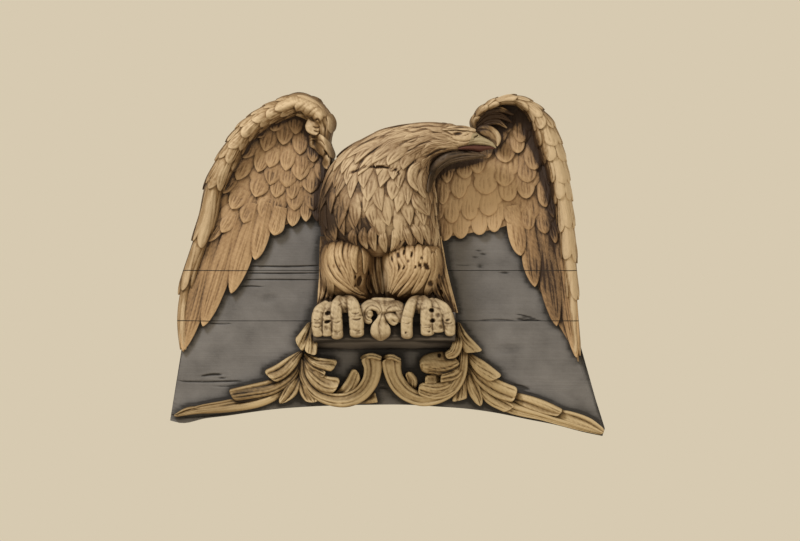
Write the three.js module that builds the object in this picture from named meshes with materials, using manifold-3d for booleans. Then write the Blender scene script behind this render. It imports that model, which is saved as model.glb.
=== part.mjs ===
// A carved and painted wooden eagle relief, such as hung on a ship's stern.
// The ground, both wings and the acanthus sprays are carved out of three thick planks joined edge to edge,
// so each plank is one solid with its share of them. The bird's own block and the perch it grips are
// separate blocks fixed to the front of the planks.
// Millimetres, +Z up. The back of the planks is the plane y = 0 and the carving faces -Y, so the depth of a
// point in front of the back is -y. X runs to the viewer's right. The origin lies on the back face.
import * as THREE from "three";
import { mergeVertices } from "three/addons/utils/BufferGeometryUtils.js";
import Module from "manifold-3d";

const wasm = await Module();
wasm.setup();

// Driving dimensions
const GROUND = 46; // thickness of the painted ground
const VANE = 56; // depth of the feathered field of a wing
const SEAM_UPPER = -84; // height of the joint between the upper and middle planks
const SEAM_LOWER = -223; // height of the joint between the middle and lower planks
const SEAM_GAP = 0.8; // the open glue line
const FIT = 0.4; // clearance between one block and the next
const WIDE_BLADE = 18; // half-width from which an acanthus blade has two ridges
const SPARE = 20; // what a form runs on behind the flat back that is then cut
const BIG = 2000; // larger than the whole relief

const lerp = THREE.MathUtils.lerp;
const clamp01 = (t) => THREE.MathUtils.clamp(t, 0, 1);

// A smooth function through [position, value] pairs, flat beyond both ends.
function through(pairs) {
  return (t) => {
    if (t <= pairs[0][0]) return pairs[0][1];
    for (let i = 1; i < pairs.length; i++) {
      if (t > pairs[i][0]) continue;
      const f = (t - pairs[i - 1][0]) / (pairs[i][0] - pairs[i - 1][0]);
      return lerp(pairs[i - 1][1], pairs[i][1], f * f * (3 - 2 * f));
    }
    return pairs.at(-1)[1];
  };
}

// A function through values spaced evenly from 0 to 1.
const evenly = (values) => through(values.map((value, i) => [i / (values.length - 1), value]));

// A smooth curve in the plane of the relief through [x, z] points, by its share of arc length.
function planeCurve(points) {
  const curve = new THREE.SplineCurve(points.map(([x, z]) => new THREE.Vector2(x, z)));
  return {
    at: (u) => curve.getPointAt(clamp01(u)),
    along: (u) => curve.getTangentAt(clamp01(u)),
  };
}

// A three.js geometry as a solid that can be joined and cut, with its faces turned outwards.
function solidOf(geometry) {
  const bare = geometry.clone();
  bare.deleteAttribute("normal");
  bare.deleteAttribute("uv");
  const merged = mergeVertices(bare, 1e-3);
  const corners = Array.from(merged.index.array);
  const triangles = [];
  const turned = [];
  for (let i = 0; i < corners.length; i += 3) {
    const [a, b, c] = corners.slice(i, i + 3);
    if (a === b || b === c || a === c) continue;
    triangles.push(a, b, c);
    turned.push(a, c, b);
  }
  const vertProperties = new Float32Array(merged.attributes.position.array);
  const make = (list) => {
    const triVerts = new Uint32Array(list);
    return new wasm.Manifold(new wasm.Mesh({ numProp: 3, vertProperties, triVerts }));
  };
  const solid = make(triangles);
  return solid.volume() > 0 ? solid : make(turned);
}

function indexed(position, index) {
  const geometry = new THREE.BufferGeometry();
  geometry.setAttribute("position", new THREE.Float32BufferAttribute(position, 3));
  geometry.setIndex(index);
  return geometry;
}

const joined = (solids) => solids.reduce((whole, solid) => whole.add(solid));

// A solid box between two corners.
function block(low, high) {
  const size = high.map((value, i) => value - low[i]);
  const middle = high.map((value, i) => (value + low[i]) / 2);
  return solidOf(new THREE.BoxGeometry(...size).translate(...middle));
}

// A profile drawn as depth and height, carried along X.
function alongX(profile, left, right) {
  const geometry = new THREE.ExtrudeGeometry(profile, { depth: right - left, bevelEnabled: false });
  return geometry.applyMatrix4(new THREE.Matrix4().set(0, 0, 1, left, -1, 0, 0, 0, 0, 1, 0, 0, 0, 0, 0, 1));
}

// A ball stretched to the given radii.
function ball(centre, radii, round = 10, high = 6) {
  return solidOf(new THREE.SphereGeometry(1, round, high).scale(...radii).translate(...centre));
}

// A closed solid between two sheets of points. front and back take u and v from 0 to 1.
function between(front, back, uSteps, vSteps) {
  const position = [];
  const index = [];
  const row = vSteps + 1;
  const sheet = (uSteps + 1) * row;
  for (const side of [front, back]) {
    for (let i = 0; i <= uSteps; i++) {
      for (let j = 0; j <= vSteps; j++) position.push(...side(i / uSteps, j / vSteps).toArray());
    }
  }
  const quad = (a, b, c, d) => index.push(a, b, c, a, c, d);
  for (let i = 0; i < uSteps; i++) {
    for (let j = 0; j < vSteps; j++) {
      const a = i * row + j;
      quad(a, a + row, a + row + 1, a + 1);
      quad(a + sheet, a + 1 + sheet, a + row + 1 + sheet, a + row + sheet);
    }
  }
  const wall = (a, b) => quad(a, b, b + sheet, a + sheet);
  for (let j = 0; j < vSteps; j++) {
    wall(j, j + 1);
    wall(uSteps * row + j + 1, uSteps * row + j);
  }
  for (let i = 0; i < uSteps; i++) {
    wall((i + 1) * row, i * row);
    wall(i * row + vSteps, (i + 1) * row + vSteps);
  }
  return solidOf(indexed(position, index));
}

// A closed bar along 3-D points. width is its half-width along the side vector and height its half-height
// square to it; both take the share of the way along.
function bar(points, side, width, height, steps, sides) {
  const curve = new THREE.CatmullRomCurve3(points.map((p) => new THREE.Vector3(...p)));
  const across = new THREE.Vector3(...side);
  const position = [];
  const index = [];
  for (let i = 0; i <= steps; i++) {
    const t = i / steps;
    const centre = curve.getPoint(t);
    const up = new THREE.Vector3().crossVectors(curve.getTangent(t), across).normalize();
    for (let j = 0; j < sides; j++) {
      const angle = (2 * Math.PI * j) / sides;
      const point = centre.clone().addScaledVector(across, width(t) * Math.cos(angle));
      position.push(...point.addScaledVector(up, height(t) * Math.sin(angle)).toArray());
    }
  }
  for (const t of [0, 1]) position.push(...curve.getPoint(t).toArray());
  const first = (steps + 1) * sides;
  const last = steps * sides;
  for (let j = 0; j < sides; j++) {
    const next = (j + 1) % sides;
    for (let i = 0; i < last; i += sides) {
      index.push(i + j, i + next, i + sides + next, i + j, i + sides + next, i + sides + j);
    }
    index.push(first, next, j, first + 1, last + j, last + next);
  }
  return solidOf(indexed(position, index));
}

// Rounded ridges side by side: 0 in the groove between two and 1 on top of one.
const ridge = (count) => Math.abs(Math.sin(Math.PI * count)) ** 0.6;

// A solid whose front is covered with overlapping rows of rounded feathers. place takes the share across,
// the share from top to bottom and a height; under gives the hidden side.
function shingled(place, under, rows, count, lift) {
  const lines = 2 * rows - 1;
  // Each row of tips is a raised line with a low one right under it, half a feather out of step.
  const line = (i, s) => {
    if (i === 0) return [0, 0];
    const row = Math.ceil(i / 2);
    const rounding = ridge(s * count + 0.5 * (row % 2));
    const edge = (row - 0.45 * (1 - rounding)) / rows;
    if (i % 2) return [edge, lift * (0.6 + 0.4 * rounding)];
    return [edge + 0.03 / rows, 0.35 * lift * (1 - rounding)];
  };
  const front = (u, v) => place(v, ...line(Math.round(u * lines), v));
  const rear = (u, v) => under(v, line(Math.round(u * lines), v)[0]);
  return between(front, rear, lines, 4 * count);
}

// A rounded form that bulges from the planks. Each level is [z, centre x, half-width, depth where the sides
// start to turn, depth of the crest]. It gives a point from the share round it, the height and how far the
// point stands out from the form.
function rounded(levels) {
  const column = (k) => through(levels.map((level) => [level[0], level[k]]));
  const [centre, half, turn, crest] = [1, 2, 3, 4].map(column);
  return (v, z, out) => {
    const x = centre(z) - (half(z) + out) * Math.cos(Math.PI * v);
    const rise = Math.sin(Math.PI * clamp01(v)) ** 0.85;
    return new THREE.Vector3(x, -lerp(turn(z), crest(z) + out, rise), z);
  };
}

// One long feather lying on the plane at the given depth, from start to tip, with a spine along it.
function quill(start, tip, half, depth) {
  const way = new THREE.Vector2(tip[0] - start[0], tip[1] - start[1]);
  const side = new THREE.Vector2(-way.y, way.x).normalize();
  const width = through([[0, 0.8], [0.72, 1], [0.9, 0.72], [1, 0]]);
  const place = (u, v, y) => {
    const t = Math.sin((u * Math.PI) / 2);
    const w = half * width(t) * (2 * v - 1);
    return new THREE.Vector3(start[0] + way.x * t + side.x * w, -y, start[1] + way.y * t + side.y * w);
  };
  const lift = (u) => (u === 0 ? -1 : u === 1 ? 0.4 : 1);
  const front = (u, v) => place(u, v, depth + (v === 0.5 ? 12 : 6) * lift(u));
  return between(front, (u, v) => place(u, v, -SPARE), 3, 2);
}

// One blade of carved foliage on the ground, ridged along the middle, or with two ridges where it is wide.
// Its spine is given by [x, z] points and its half-widths at even steps; height is how far it stands in
// front of the ground.
function blade(points, halves, height, steps) {
  const middle = planeCurve(points);
  const half = evenly(halves);
  const ridges = Math.max(...halves) > WIDE_BLADE ? [0.5, 1, 0.7, 1, 0.5] : [0.45, 1, 0.45];
  const across = ridges.length - 1;
  const place = (u, v, depth) => {
    const along = middle.along(u);
    const w = half(u) * (2 * v - 1);
    const p = middle.at(u);
    return new THREE.Vector3(p.x - along.y * w, -depth, p.y + along.x * w);
  };
  const rise = (u) => Math.min(1, 0.55 + 1.5 * Math.min(u, 1 - u));
  const front = (u, v) => place(u, v, GROUND + height * rise(u) * ridges[Math.round(across * v)]);
  return between(front, (u, v) => place(u, v, GROUND - 6), steps, across);
}

// The painted ground: a board with flared sides, arched below, whose top is hidden by the wings.
function ground() {
  const outline = new THREE.Shape();
  outline.moveTo(-602, -496);
  outline.bezierCurveTo(-590, -505, -560, -498, -478, -474);
  outline.quadraticCurveTo(-40, -420, 340, -488);
  outline.quadraticCurveTo(480, -512, 592, -541);
  outline.quadraticCurveTo(604, -536, 599, -520);
  outline.quadraticCurveTo(535, -425, 527, -335);
  outline.lineTo(506, -60);
  outline.lineTo(460, 120);
  outline.lineTo(-460, 120);
  outline.lineTo(-540, -60);
  outline.lineTo(-570, -318);
  outline.quadraticCurveTo(-577, -400, -602, -496);
  const depth = GROUND + SPARE;
  const geometry = new THREE.ExtrudeGeometry(outline, { depth, bevelEnabled: false, curveSegments: 6 });
  return solidOf(geometry.rotateX(Math.PI / 2).translate(0, SPARE, 0));
}

// Each wing, seen from the front. edge is the outer silhouette from the bent wrist beside the neck, over
// the top and down to the tip; hem is the lower border of the solid wing, from the body to the tip; the
// coverts fill the field from brow to skirt; quills are [start, tip, half-width], the outermost first. turn
// is the side the wing is on.
const WINGS = {
  left: {
    turn: 1,
    edge: [[-146, 215], [-157, 270], [-150, 325], [-187, 377], [-245, 401], [-315, 381], [-405, 322],
      [-468, 232], [-506, 148], [-520, 69], [-547, -28], [-574, -132], [-580, -212], [-569, -308]],
    hem: [[-140, 70], [-260, 66], [-340, 30], [-400, -10], [-452, -130], [-520, -215], [-562, -290]],
    brow: [[-150, 196], [-228, 275], [-275, 319], [-346, 319], [-399, 275], [-445, 198], [-492, 115]],
    skirt: [[-150, 52], [-236, 52], [-286, 26], [-346, 36], [-401, 30], [-456, 8], [-528, -8]],
    quills: [
      [[-500, 60], [-572, -146], 15],
      [[-474, 44], [-570, -306], 29],
      [[-412, 74], [-511, -238], 30],
      [[-362, 100], [-433, -147], 27],
      [[-330, 104], [-367, -54], 24],
      [[-296, 92], [-314, 13], 23],
    ],
  },
  right: {
    turn: -1,
    edge: [[236, 303], [232, 328], [244, 352], [270, 374], [308, 392], [345, 397], [403, 377], [445, 338],
      [472, 282], [492, 204], [505, 120], [513, 40], [520, -83], [525, -220], [528, -335]],
    hem: [[100, 20], [200, 16], [290, 20], [352, -10], [392, -90], [446, -200], [520, -312]],
    brow: [[108, 184], [184, 222], [247, 262], [300, 290], [349, 308], [396, 261], [434, 165]],
    skirt: [[108, -3], [187, -3], [239, 6], [294, 14], [341, 26], [390, 14], [446, 8]],
    quills: [
      [[492, 40], [518, -148], 16],
      [[462, 55], [526, -328], 27],
      [[421, 68], [465, -237], 28],
      [[382, 68], [405, -129], 25],
      [[343, 96], [366, -43], 25],
    ],
  },
};
const ROLL_HALF = through([[0, 13], [0.1, 28], [0.22, 34], [0.4, 33], [0.6, 30], [0.8, 20], [1, 8]]);
const ROLL_DEPTH = through([[0, 96], [0.1, 126], [0.25, 134], [0.45, 124], [0.7, 96], [1, 62]]);
const ROLL_SHARE = 0.97; // how far along the edge the roll reaches down beside the quills

// The rolled front edge of a wing: u is the share along it, v the share over it from the silhouette to the
// inner side, and out how far the point stands out from the roll.
function rollOf(wing) {
  const edge = planeCurve(wing.edge);
  return (u, v, out) => {
    const p = edge.at(u);
    const along = edge.along(u);
    const half = ROLL_HALF(u);
    const inward = wing.turn * (half - (half + out) * Math.cos(Math.PI * v));
    const depth = (ROLL_DEPTH(u) + out) * Math.sin(Math.PI * clamp01(v)) ** 0.6;
    return new THREE.Vector3(p.x - along.y * inward, -depth, p.y + along.x * inward);
  };
}

function wingOf(wing) {
  const flat = (p) => p.setY(SPARE);
  const roll = rollOf(wing);
  const scales = shingled(
    (s, t, h) => roll(t * ROLL_SHARE, s, h - 3),
    (s, t) => flat(roll(t * ROLL_SHARE, s, -3)),
    9,
    3,
    7,
  );
  const hem = planeCurve(wing.hem);
  const vane = (u, v) => {
    const p = roll(lerp(0.04, ROLL_SHARE, u), 0.5, 0);
    const q = hem.at(u);
    return new THREE.Vector3(lerp(p.x, q.x, v), -VANE, lerp(p.z, q.y, v));
  };
  const web = between(vane, (u, v) => flat(vane(u, v)), 10, 1);
  const brow = planeCurve(wing.brow);
  const skirt = planeCurve(wing.skirt);
  const field = (s, t, h) => {
    const p = brow.at(s).lerp(skirt.at(s), t);
    return new THREE.Vector3(p.x, -VANE - 2 - h, p.y);
  };
  const coverts = shingled(field, (s, t) => flat(field(s, t, 0)), 6, 6, 16);
  // Each quill lies a little in front of the next one out.
  const quills = wing.quills.map((numbers, i) => quill(...numbers, VANE - 10 + 2 * i));
  return joined([web, scales, coverts, ...quills]);
}

// Acanthus blades: [spine points, half-widths, height above the ground].
const ACANTHUS = {
  left: [
    [[[-207, -204], [-232, -245], [-256, -292]], [8, 17, 14], 58],
    [[[-216, -226], [-220, -270], [-211, -316]], [8, 13, 18], 50],
    [[[-236, -308], [-272, -345], [-340, -386]], [9, 20, 19], 30],
    [[[-240, -320], [-315, -392], [-438, -429]], [10, 25, 25], 26],
    [[[-244, -340], [-340, -428], [-574, -478]], [10, 24, 6], 24],
    [[[-241, -355], [-262, -400], [-294, -452]], [9, 19, 6], 30],
    [[[-232, -314], [-190, -347], [-143, -360]], [6, 19, 22], 36],
    [[[-234, -330], [-206, -386], [-140, -400]], [6, 22, 27], 34],
    [[[-237, -355], [-227, -405], [-195, -444]], [6, 17, 9], 26],
    [[[-112, -424], [-86, -382], [-84, -346]], [8, 17, 15], 30],
    [[[-150, -448], [-76, -445], [-40, -427]], [7, 9, 13], 12],
    [[[-234, -352], [-186, -412], [-118, -425], [-58, -398], [-34, -360], [-44, -326]],
      [8, 19, 24, 23, 25, 27], 40],
  ],
  right: [
    [[[193, -204], [214, -256], [252, -312]], [7, 18, 24], 58],
    [[[212, -314], [254, -338], [303, -384]], [9, 23, 19], 36],
    [[[216, -336], [276, -392], [358, -424]], [9, 23, 25], 30],
    [[[306, -430], [392, -436], [482, -484]], [14, 24, 14], 24],
    [[[220, -362], [336, -450], [560, -512]], [9, 22, 12], 26],
    [[[460, -478], [534, -488], [590, -527]], [9, 18, 8], 22],
    [[[209, -384], [200, -418], [194, -446]], [9, 17, 17], 30],
    [[[226, -386], [242, -426], [250, -460]], [9, 17, 5], 28],
    [[[246, -380], [296, -440], [330, -470]], [9, 19, 14], 26],
    [[[196, -312], [192, -330], [166, -338]], [11, 15, 12], 46],
    [[[164, -400], [116, -420], [80, -412]], [11, 24, 22], 40],
    [[[16, -336], [6, -364], [32, -406], [88, -428], [150, -414], [192, -366], [204, -300], [197, -256]],
      [25, 24, 23, 22, 20, 17, 15, 9], 38],
  ],
};

function acanthus() {
  const blades = [...ACANTHUS.left, ...ACANTHUS.right].map(([points, halves, height]) =>
    blade(points, halves, height, points.length > 3 ? 8 : 3),
  );
  return joined([...blades, ball([121, -GROUND, -347], [37, 44, 35], 10, 6)]);
}

// The bird's own block: levels of the breast, the thighs and the trunk behind them
const BREAST = [
  [-46, 0, 96, 110, 160],
  [-26, -7, 138, 112, 196],
  [0, -18, 155, 115, 222],
  [41, -26, 155, 118, 243],
  [96, -29, 153, 118, 252],
  [151, -23, 150, 118, 246],
  [206, -8, 140, 116, 230],
  [248, 14, 127, 112, 212],
  [275, 28, 97, 110, 196],
  [298, 50, 72, 108, 176],
];
const THIGHS = [
  [
    [-175, -72, 28, 110, 165],
    [-145, -104, 50, 115, 205],
    [-110, -118, 60, 118, 226],
    [-69, -116, 67, 120, 234],
    [-33, -114, 67, 120, 228],
    [-9, -111, 58, 115, 204],
    [6, -110, 34, 110, 170],
  ],
  [
    [-172, 38, 38, 110, 165],
    [-146, 55, 64, 115, 205],
    [-115, 62, 76, 118, 226],
    [-77, 65, 81, 120, 236],
    [-41, 66, 80, 120, 230],
    [-16, 64, 70, 115, 206],
    [0, 58, 44, 110, 172],
  ],
];
const TRUNK = [
  [-196, -6, 190, 92, 118],
  [-120, -14, 176, 92, 124],
  [10, -20, 163, 96, 130],
];
// The back of the neck is hewn off flat between these two points, given as [height, depth]
const NECK_BACK = [[120, GROUND + FIT], [300, 122]];
const LOCK_LIFT = 11; // how far the breast feathers stand out at their tips
// Each foot: its centre, the half-width of the instep, and its toes as [x, z of the end, half-width]
const FEET = [
  {
    centre: [-133, -200, -178],
    span: 62,
    toes: [[-190, -268, 13], [-165, -262, 13], [-139, -268, 15], [-86, -270, 18]],
  },
  {
    centre: [106, -200, -178],
    span: 66,
    toes: [[51, -274, 17], [105, -268, 17], [133, -252, 15], [168, -268, 13]],
  },
];

function breast() {
  const at = rounded(BREAST);
  const place = (s, t, h) => at(s, lerp(BREAST.at(-1)[0], BREAST[0][0], t), h - LOCK_LIFT / 3);
  return shingled(place, (s, t) => place(s, t, 0).setY(SPARE - GROUND), 7, 6, LOCK_LIFT);
}

// The smooth form that just holds the feathered breast, for the room cut for it in the planks.
function breastRoom() {
  const at = rounded(BREAST);
  const low = BREAST[0][0] - 1;
  const high = BREAST.at(-1)[0] + 1;
  const front = (u, v) => at(v, lerp(high, low, u), LOCK_LIFT);
  return between(front, (u, v) => front(u, v).setY(SPARE - GROUND), 8, 10);
}

// A thigh with the ridges of its long feathers drawn together towards the foot.
function thigh(levels, grow) {
  const at = rounded(levels);
  const ridges = 5;
  const low = levels[0][0] - grow;
  const high = levels.at(-1)[0] + grow;
  const front = (u, v) => at(v, lerp(high, low, u), grow + 9 * ridge(ridges * v));
  return between(front, (u, v) => front(u, v).setY(SPARE - GROUND), 5, 2 * ridges);
}

function trunk(grow) {
  const at = rounded(TRUNK);
  const front = (u, v) => at(v, lerp(TRUNK[0][0] - grow, TRUNK.at(-1)[0], u), grow);
  return between(front, (u, v) => front(u, v).setY(SPARE - GROUND), 3, 6);
}

// What is hewn away behind the bird's block: all behind its bed on the planks, and the back of the neck.
function behindBird(bed) {
  const waste = new THREE.Shape();
  const [[lowZ, lowDepth], [highZ, highDepth]] = NECK_BACK;
  waste.moveTo(-BIG, -BIG);
  waste.lineTo(bed, -BIG);
  waste.lineTo(bed, lowZ);
  waste.lineTo(highDepth - lowDepth + bed, highZ);
  waste.lineTo(highDepth - lowDepth + bed, BIG);
  waste.lineTo(-BIG, BIG);
  return solidOf(alongX(waste, -BIG, BIG));
}

function head() {
  const centre = 178; // depth of the middle of the head
  const side = [0, 1, 0];
  const lying = (points) => points.map(([x, z]) => [x, -centre, z]);
  const neck = bar(
    [[-40, -150, 222], [30, -166, 249], [100, -176, 263], [160, -178, 270], [206, -178, 271]],
    side,
    evenly([62, 64, 56, 46, 36]),
    evenly([66, 60, 55, 48, 36]),
    7,
    10,
  );
  const crown = ball([182, -centre, 276], [48, 42, 34], 8, 6);
  const beak = bar(
    lying([[204, 276], [236, 279], [266, 272], [286, 260], [292, 246]]),
    side,
    evenly([30, 24, 16, 9, 2]),
    evenly([22, 20, 15, 9, 2]),
    6,
    8,
  );
  const jaw = bar(
    lying([[186, 246], [226, 240], [266, 231]]),
    side,
    evenly([28, 17, 4]),
    evenly([17, 9, 4]),
    3,
    6,
  );
  const brows = [-1, 1].map((hand) =>
    bar(
      [[156, 36, 296], [184, 40, 297], [214, 30, 291]].map(([x, out, z]) => [x, -centre - hand * out, z]),
      side,
      evenly([4, 9, 4]),
      evenly([3, 6, 3]),
      2,
      6,
    ),
  );
  return joined([neck, crown, beak, jaw, ...brows]);
}

function foot({ centre: [cx, cy, cz], span, toes }, grow) {
  const claws = toes.map(([x, end, half]) =>
    bar(
      [[lerp(cx, x, 0.35), cy + 30, cz - 4], [lerp(cx, x, 0.75), cy - 8, cz + 6], [x, cy - 34, cz - 26],
        [x, cy - 38, lerp(cz, end, 0.7)], [x, cy - 26, end - grow]],
      [1, 0, 0],
      through([[0, half + grow], [0.8, half + grow], [1, half * 0.6 + grow]]),
      through([[0, 16 + grow], [0.8, 15 + grow], [1, 8 + grow]]),
      4,
      6,
    ),
  );
  // The shank runs back and up inside the thigh.
  const inside = [cx * 0.8, cy + 60, cz + 50];
  const shank = bar([inside, [cx, cy, cz]], [1, 0, 0], () => 34 + grow, () => 26 + grow, 1, 6);
  const instep = ball([cx, cy + 8, cz - 2], [span + grow, 40 + grow, 21 + grow], 8, 5);
  return joined([instep, shank, ...claws]);
}

// The legs and the trunk behind them, swollen by a clearance.
function lowerBird(grow) {
  const thighs = THIGHS.map((levels) => thigh(levels, grow));
  return joined([trunk(grow), ...thighs, ...FEET.map((numbers) => foot(numbers, grow))]);
}

const bird = joined([breast(), lowerBird(0), head()]).subtract(behindBird(GROUND + FIT));
const birdRoom = breastRoom().add(lowerBird(FIT)).subtract(behindBird(GROUND));

// The perch: a painted shelf with a carved roll on it, and a leaf that hangs from the roll. depth is that
// of the front of the shelf and rollDepth that of the middle of the roll.
const PERCH = { left: -204, right: 184, top: -176, bottom: -273, depth: 212, rollDepth: 176 };

function perch() {
  const { left, right, top, bottom, depth, rollDepth } = PERCH;
  const profile = new THREE.Shape();
  profile.moveTo(GROUND + FIT, top - 22);
  profile.lineTo(depth - 24, top - 22);
  profile.lineTo(depth - 6, bottom + 42);
  profile.lineTo(depth, bottom + 12);
  profile.lineTo(depth - 8, bottom);
  profile.lineTo(depth / 2, bottom - 6);
  profile.lineTo(GROUND + FIT, bottom - 30);
  const shelf = alongX(profile, left, right);
  const rollLine = [left + 8, (left + right) / 2, right - 8].map((x) => [x, -rollDepth, top - 26]);
  const roll = bar(rollLine, [0, 1, 0], () => 40, () => 32, 1, 8);
  const leafHalf = through([[0, 22], [0.22, 34], [0.5, 17], [0.75, 31], [0.9, 24], [1, 4]]);
  const leafDepth = through([[0, 205], [0.2, 232], [0.5, 226], [0.8, 232], [1, 220]]);
  const flutes = [0, 9, 5, 9, 0];
  const leafFront = (u, v) => {
    const x = -18 + leafHalf(u) * (2 * v - 1);
    return new THREE.Vector3(x, -leafDepth(u) - flutes[Math.round(4 * v)], lerp(-158, -278, u));
  };
  const leaf = between(leafFront, (u, v) => leafFront(u, v).setY(-180), 8, 4);
  const curls = [-52, 21].map((x) => ball([x, -210, -208], [23, 20, 25], 8, 5));
  return joined([solidOf(shelf), roll, leaf, ...curls]);
}

// Assembly. Where a block beds against another, the room for it is cut with a clearance.
const perchRoom = block(
  [PERCH.left - FIT, -BIG, PERCH.bottom - 34],
  [PERCH.right + FIT, -GROUND, PERCH.top],
);
const carved = joined([ground(), wingOf(WINGS.left), wingOf(WINGS.right), acanthus()])
  .subtract(birdRoom)
  .subtract(perchRoom);
const plank = (bottom, top) => carved.intersect(block([-BIG, -BIG, bottom], [BIG, 0, top]));

const relief = new THREE.Group();
relief.name = "eagle_relief";

// Adds the main body of a solid as a named mesh. Slivers left by the cuts and sealed pockets are dropped.
function add(name, solid, material) {
  const main = solid.decompose().reduce((a, b) => (a.volume() > b.volume() ? a : b));
  const { numProp, vertProperties, triVerts } = main.getMesh();
  const position = Array.from(vertProperties).filter((_, i) => i % numProp < 3);
  const geometry = indexed(position, Array.from(triVerts));
  geometry.computeVertexNormals();
  const mesh = new THREE.Mesh(geometry, material);
  mesh.name = name;
  relief.add(mesh);
}

const wood = new THREE.MeshStandardMaterial({ color: 0xb8946a, roughness: 0.7, metalness: 0 });
const paintedGround = new THREE.MeshStandardMaterial({ color: 0x6e6864, roughness: 0.8, metalness: 0 });

add("upper_plank", plank(SEAM_UPPER + SEAM_GAP / 2, BIG), wood);
add("middle_plank", plank(SEAM_LOWER + SEAM_GAP / 2, SEAM_UPPER - SEAM_GAP / 2), paintedGround);
add("lower_plank", plank(-BIG, SEAM_LOWER - SEAM_GAP / 2), paintedGround);
add("eagle_block", bird, wood);
add("perch", perch().subtract(birdRoom), wood);

export default relief;
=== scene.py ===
# %% [markdown]
# # A carved eagle relief
# The real thing is an old wooden relief about 1.2 m wide: an eagle with raised wings on a perch, over two
# sprays of leaves, on a flat painted board. Planks carry the board, the wings and the sprays, and the
# bird's own block is fixed in front of them.
#
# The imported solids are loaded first. They fix where everything is, and nothing below moves them. Each
# carved piece is then worked out anew as a fine surface in the same place and stands for its solid.

# %% Load the solids
import math

import bpy
import numpy as np
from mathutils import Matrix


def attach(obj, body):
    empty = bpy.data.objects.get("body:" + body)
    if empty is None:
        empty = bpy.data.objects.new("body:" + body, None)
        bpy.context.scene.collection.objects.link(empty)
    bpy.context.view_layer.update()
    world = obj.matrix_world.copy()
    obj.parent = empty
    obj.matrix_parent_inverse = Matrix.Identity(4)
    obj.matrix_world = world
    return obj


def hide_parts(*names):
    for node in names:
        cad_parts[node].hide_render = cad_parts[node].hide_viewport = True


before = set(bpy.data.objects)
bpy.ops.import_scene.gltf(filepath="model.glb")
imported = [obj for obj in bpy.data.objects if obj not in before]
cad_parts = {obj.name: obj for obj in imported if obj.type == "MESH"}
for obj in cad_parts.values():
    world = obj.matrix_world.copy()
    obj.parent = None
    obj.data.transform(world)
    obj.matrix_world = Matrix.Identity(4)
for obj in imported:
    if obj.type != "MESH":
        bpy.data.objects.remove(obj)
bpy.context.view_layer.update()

# %% [markdown]
# ## Camera, light and floor
# The picture looks straight at the relief from far away, so a long lens stands 12 m off. One pixel of the
# picture is 2.75 mm, which makes the whole frame 2.2 m wide. A large lamp up on the left gives the soft
# shadows of the carving, and a cream surrounding fills them.

# %% Camera
MM = 0.001
PICTURE = (800, 541)  # pixels
PIXEL = 2.75  # mm on the relief for one pixel of the picture
MIDDLE = (388, 240)  # the pixel where x and z are 0
LENS, SENSOR = 200, 36
RELIEF_DEPTH = 100  # mm in front of the wall, where a pixel is measured

frame_width = PICTURE[0] * PIXEL
distance = frame_width * LENS / SENSOR
camera = bpy.data.objects.new("camera", bpy.data.cameras.new("camera"))
camera.data.lens, camera.data.sensor_width = LENS, SENSOR
camera.data.clip_end = 100
camera.location = (
    (PICTURE[0] / 2 - MIDDLE[0]) * PIXEL * MM,
    -(distance + RELIEF_DEPTH) * MM,
    (MIDDLE[1] - PICTURE[1] / 2) * PIXEL * MM,
)
camera.rotation_euler = (math.radians(90), 0, 0)
bpy.context.collection.objects.link(camera)
bpy.context.scene.camera = camera
print("camera stands", round(distance * MM, 2), "m off")


# %% Colours and the node helper
def srgb(code):
    """Linear colour of an sRGB hex code: each channel c is ((c + 0.055) / 1.055) ** 2.4, or c / 12.92."""
    channels = [int(code[i : i + 2], 16) / 255 for i in (1, 3, 5)]
    linear = [((c + 0.055) / 1.055) ** 2.4 if c > 0.04045 else c / 12.92 for c in channels]
    return (*linear, 1)


def node(tree, kind, inputs=(), **settings):
    """Adds a node, sets its properties, and gives each named input a value or the socket that feeds it."""
    made = tree.nodes.new(kind)
    for name, value in settings.items():
        setattr(made, name, value)
    for name, value in dict(inputs).items():
        if isinstance(value, bpy.types.NodeSocket):
            tree.links.new(value, made.inputs[name])
        else:
            made.inputs[name].default_value = value
    return made


print("a middle grey in linear light:", round(srgb("#808080")[0], 3))


# %% Light and floor
def lamp(name, place, aim, size, power):
    """An area lamp at a place, turned so that it looks at its aim."""
    light = bpy.data.lights.new(name, "AREA")
    light.size, light.energy = size, power
    made = bpy.data.objects.new(name, light)
    made.location = place
    towards = np.array(aim) - np.array(place)
    flat = math.hypot(towards[0], towards[1])
    made.rotation_euler = (math.atan2(flat, -towards[2]), 0, math.atan2(-towards[0], towards[1]))
    bpy.context.collection.objects.link(made)


lamp("key", (-1.9, -2.6, 2.8), (0, 0, 0), 0.9, 95)
lamp("fill", (2.2, -4.0, 0.6), (0, 0, 0), 2.5, 12)

world = bpy.data.worlds.new("cream_surrounding")
world.use_nodes = True
backdrop = world.node_tree.nodes["Background"]
backdrop.inputs["Color"].default_value = srgb("#D7CAB1")
backdrop.inputs["Strength"].default_value = 1.0
bpy.context.scene.world = world
bpy.context.scene.view_settings.view_transform = "Standard"

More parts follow.
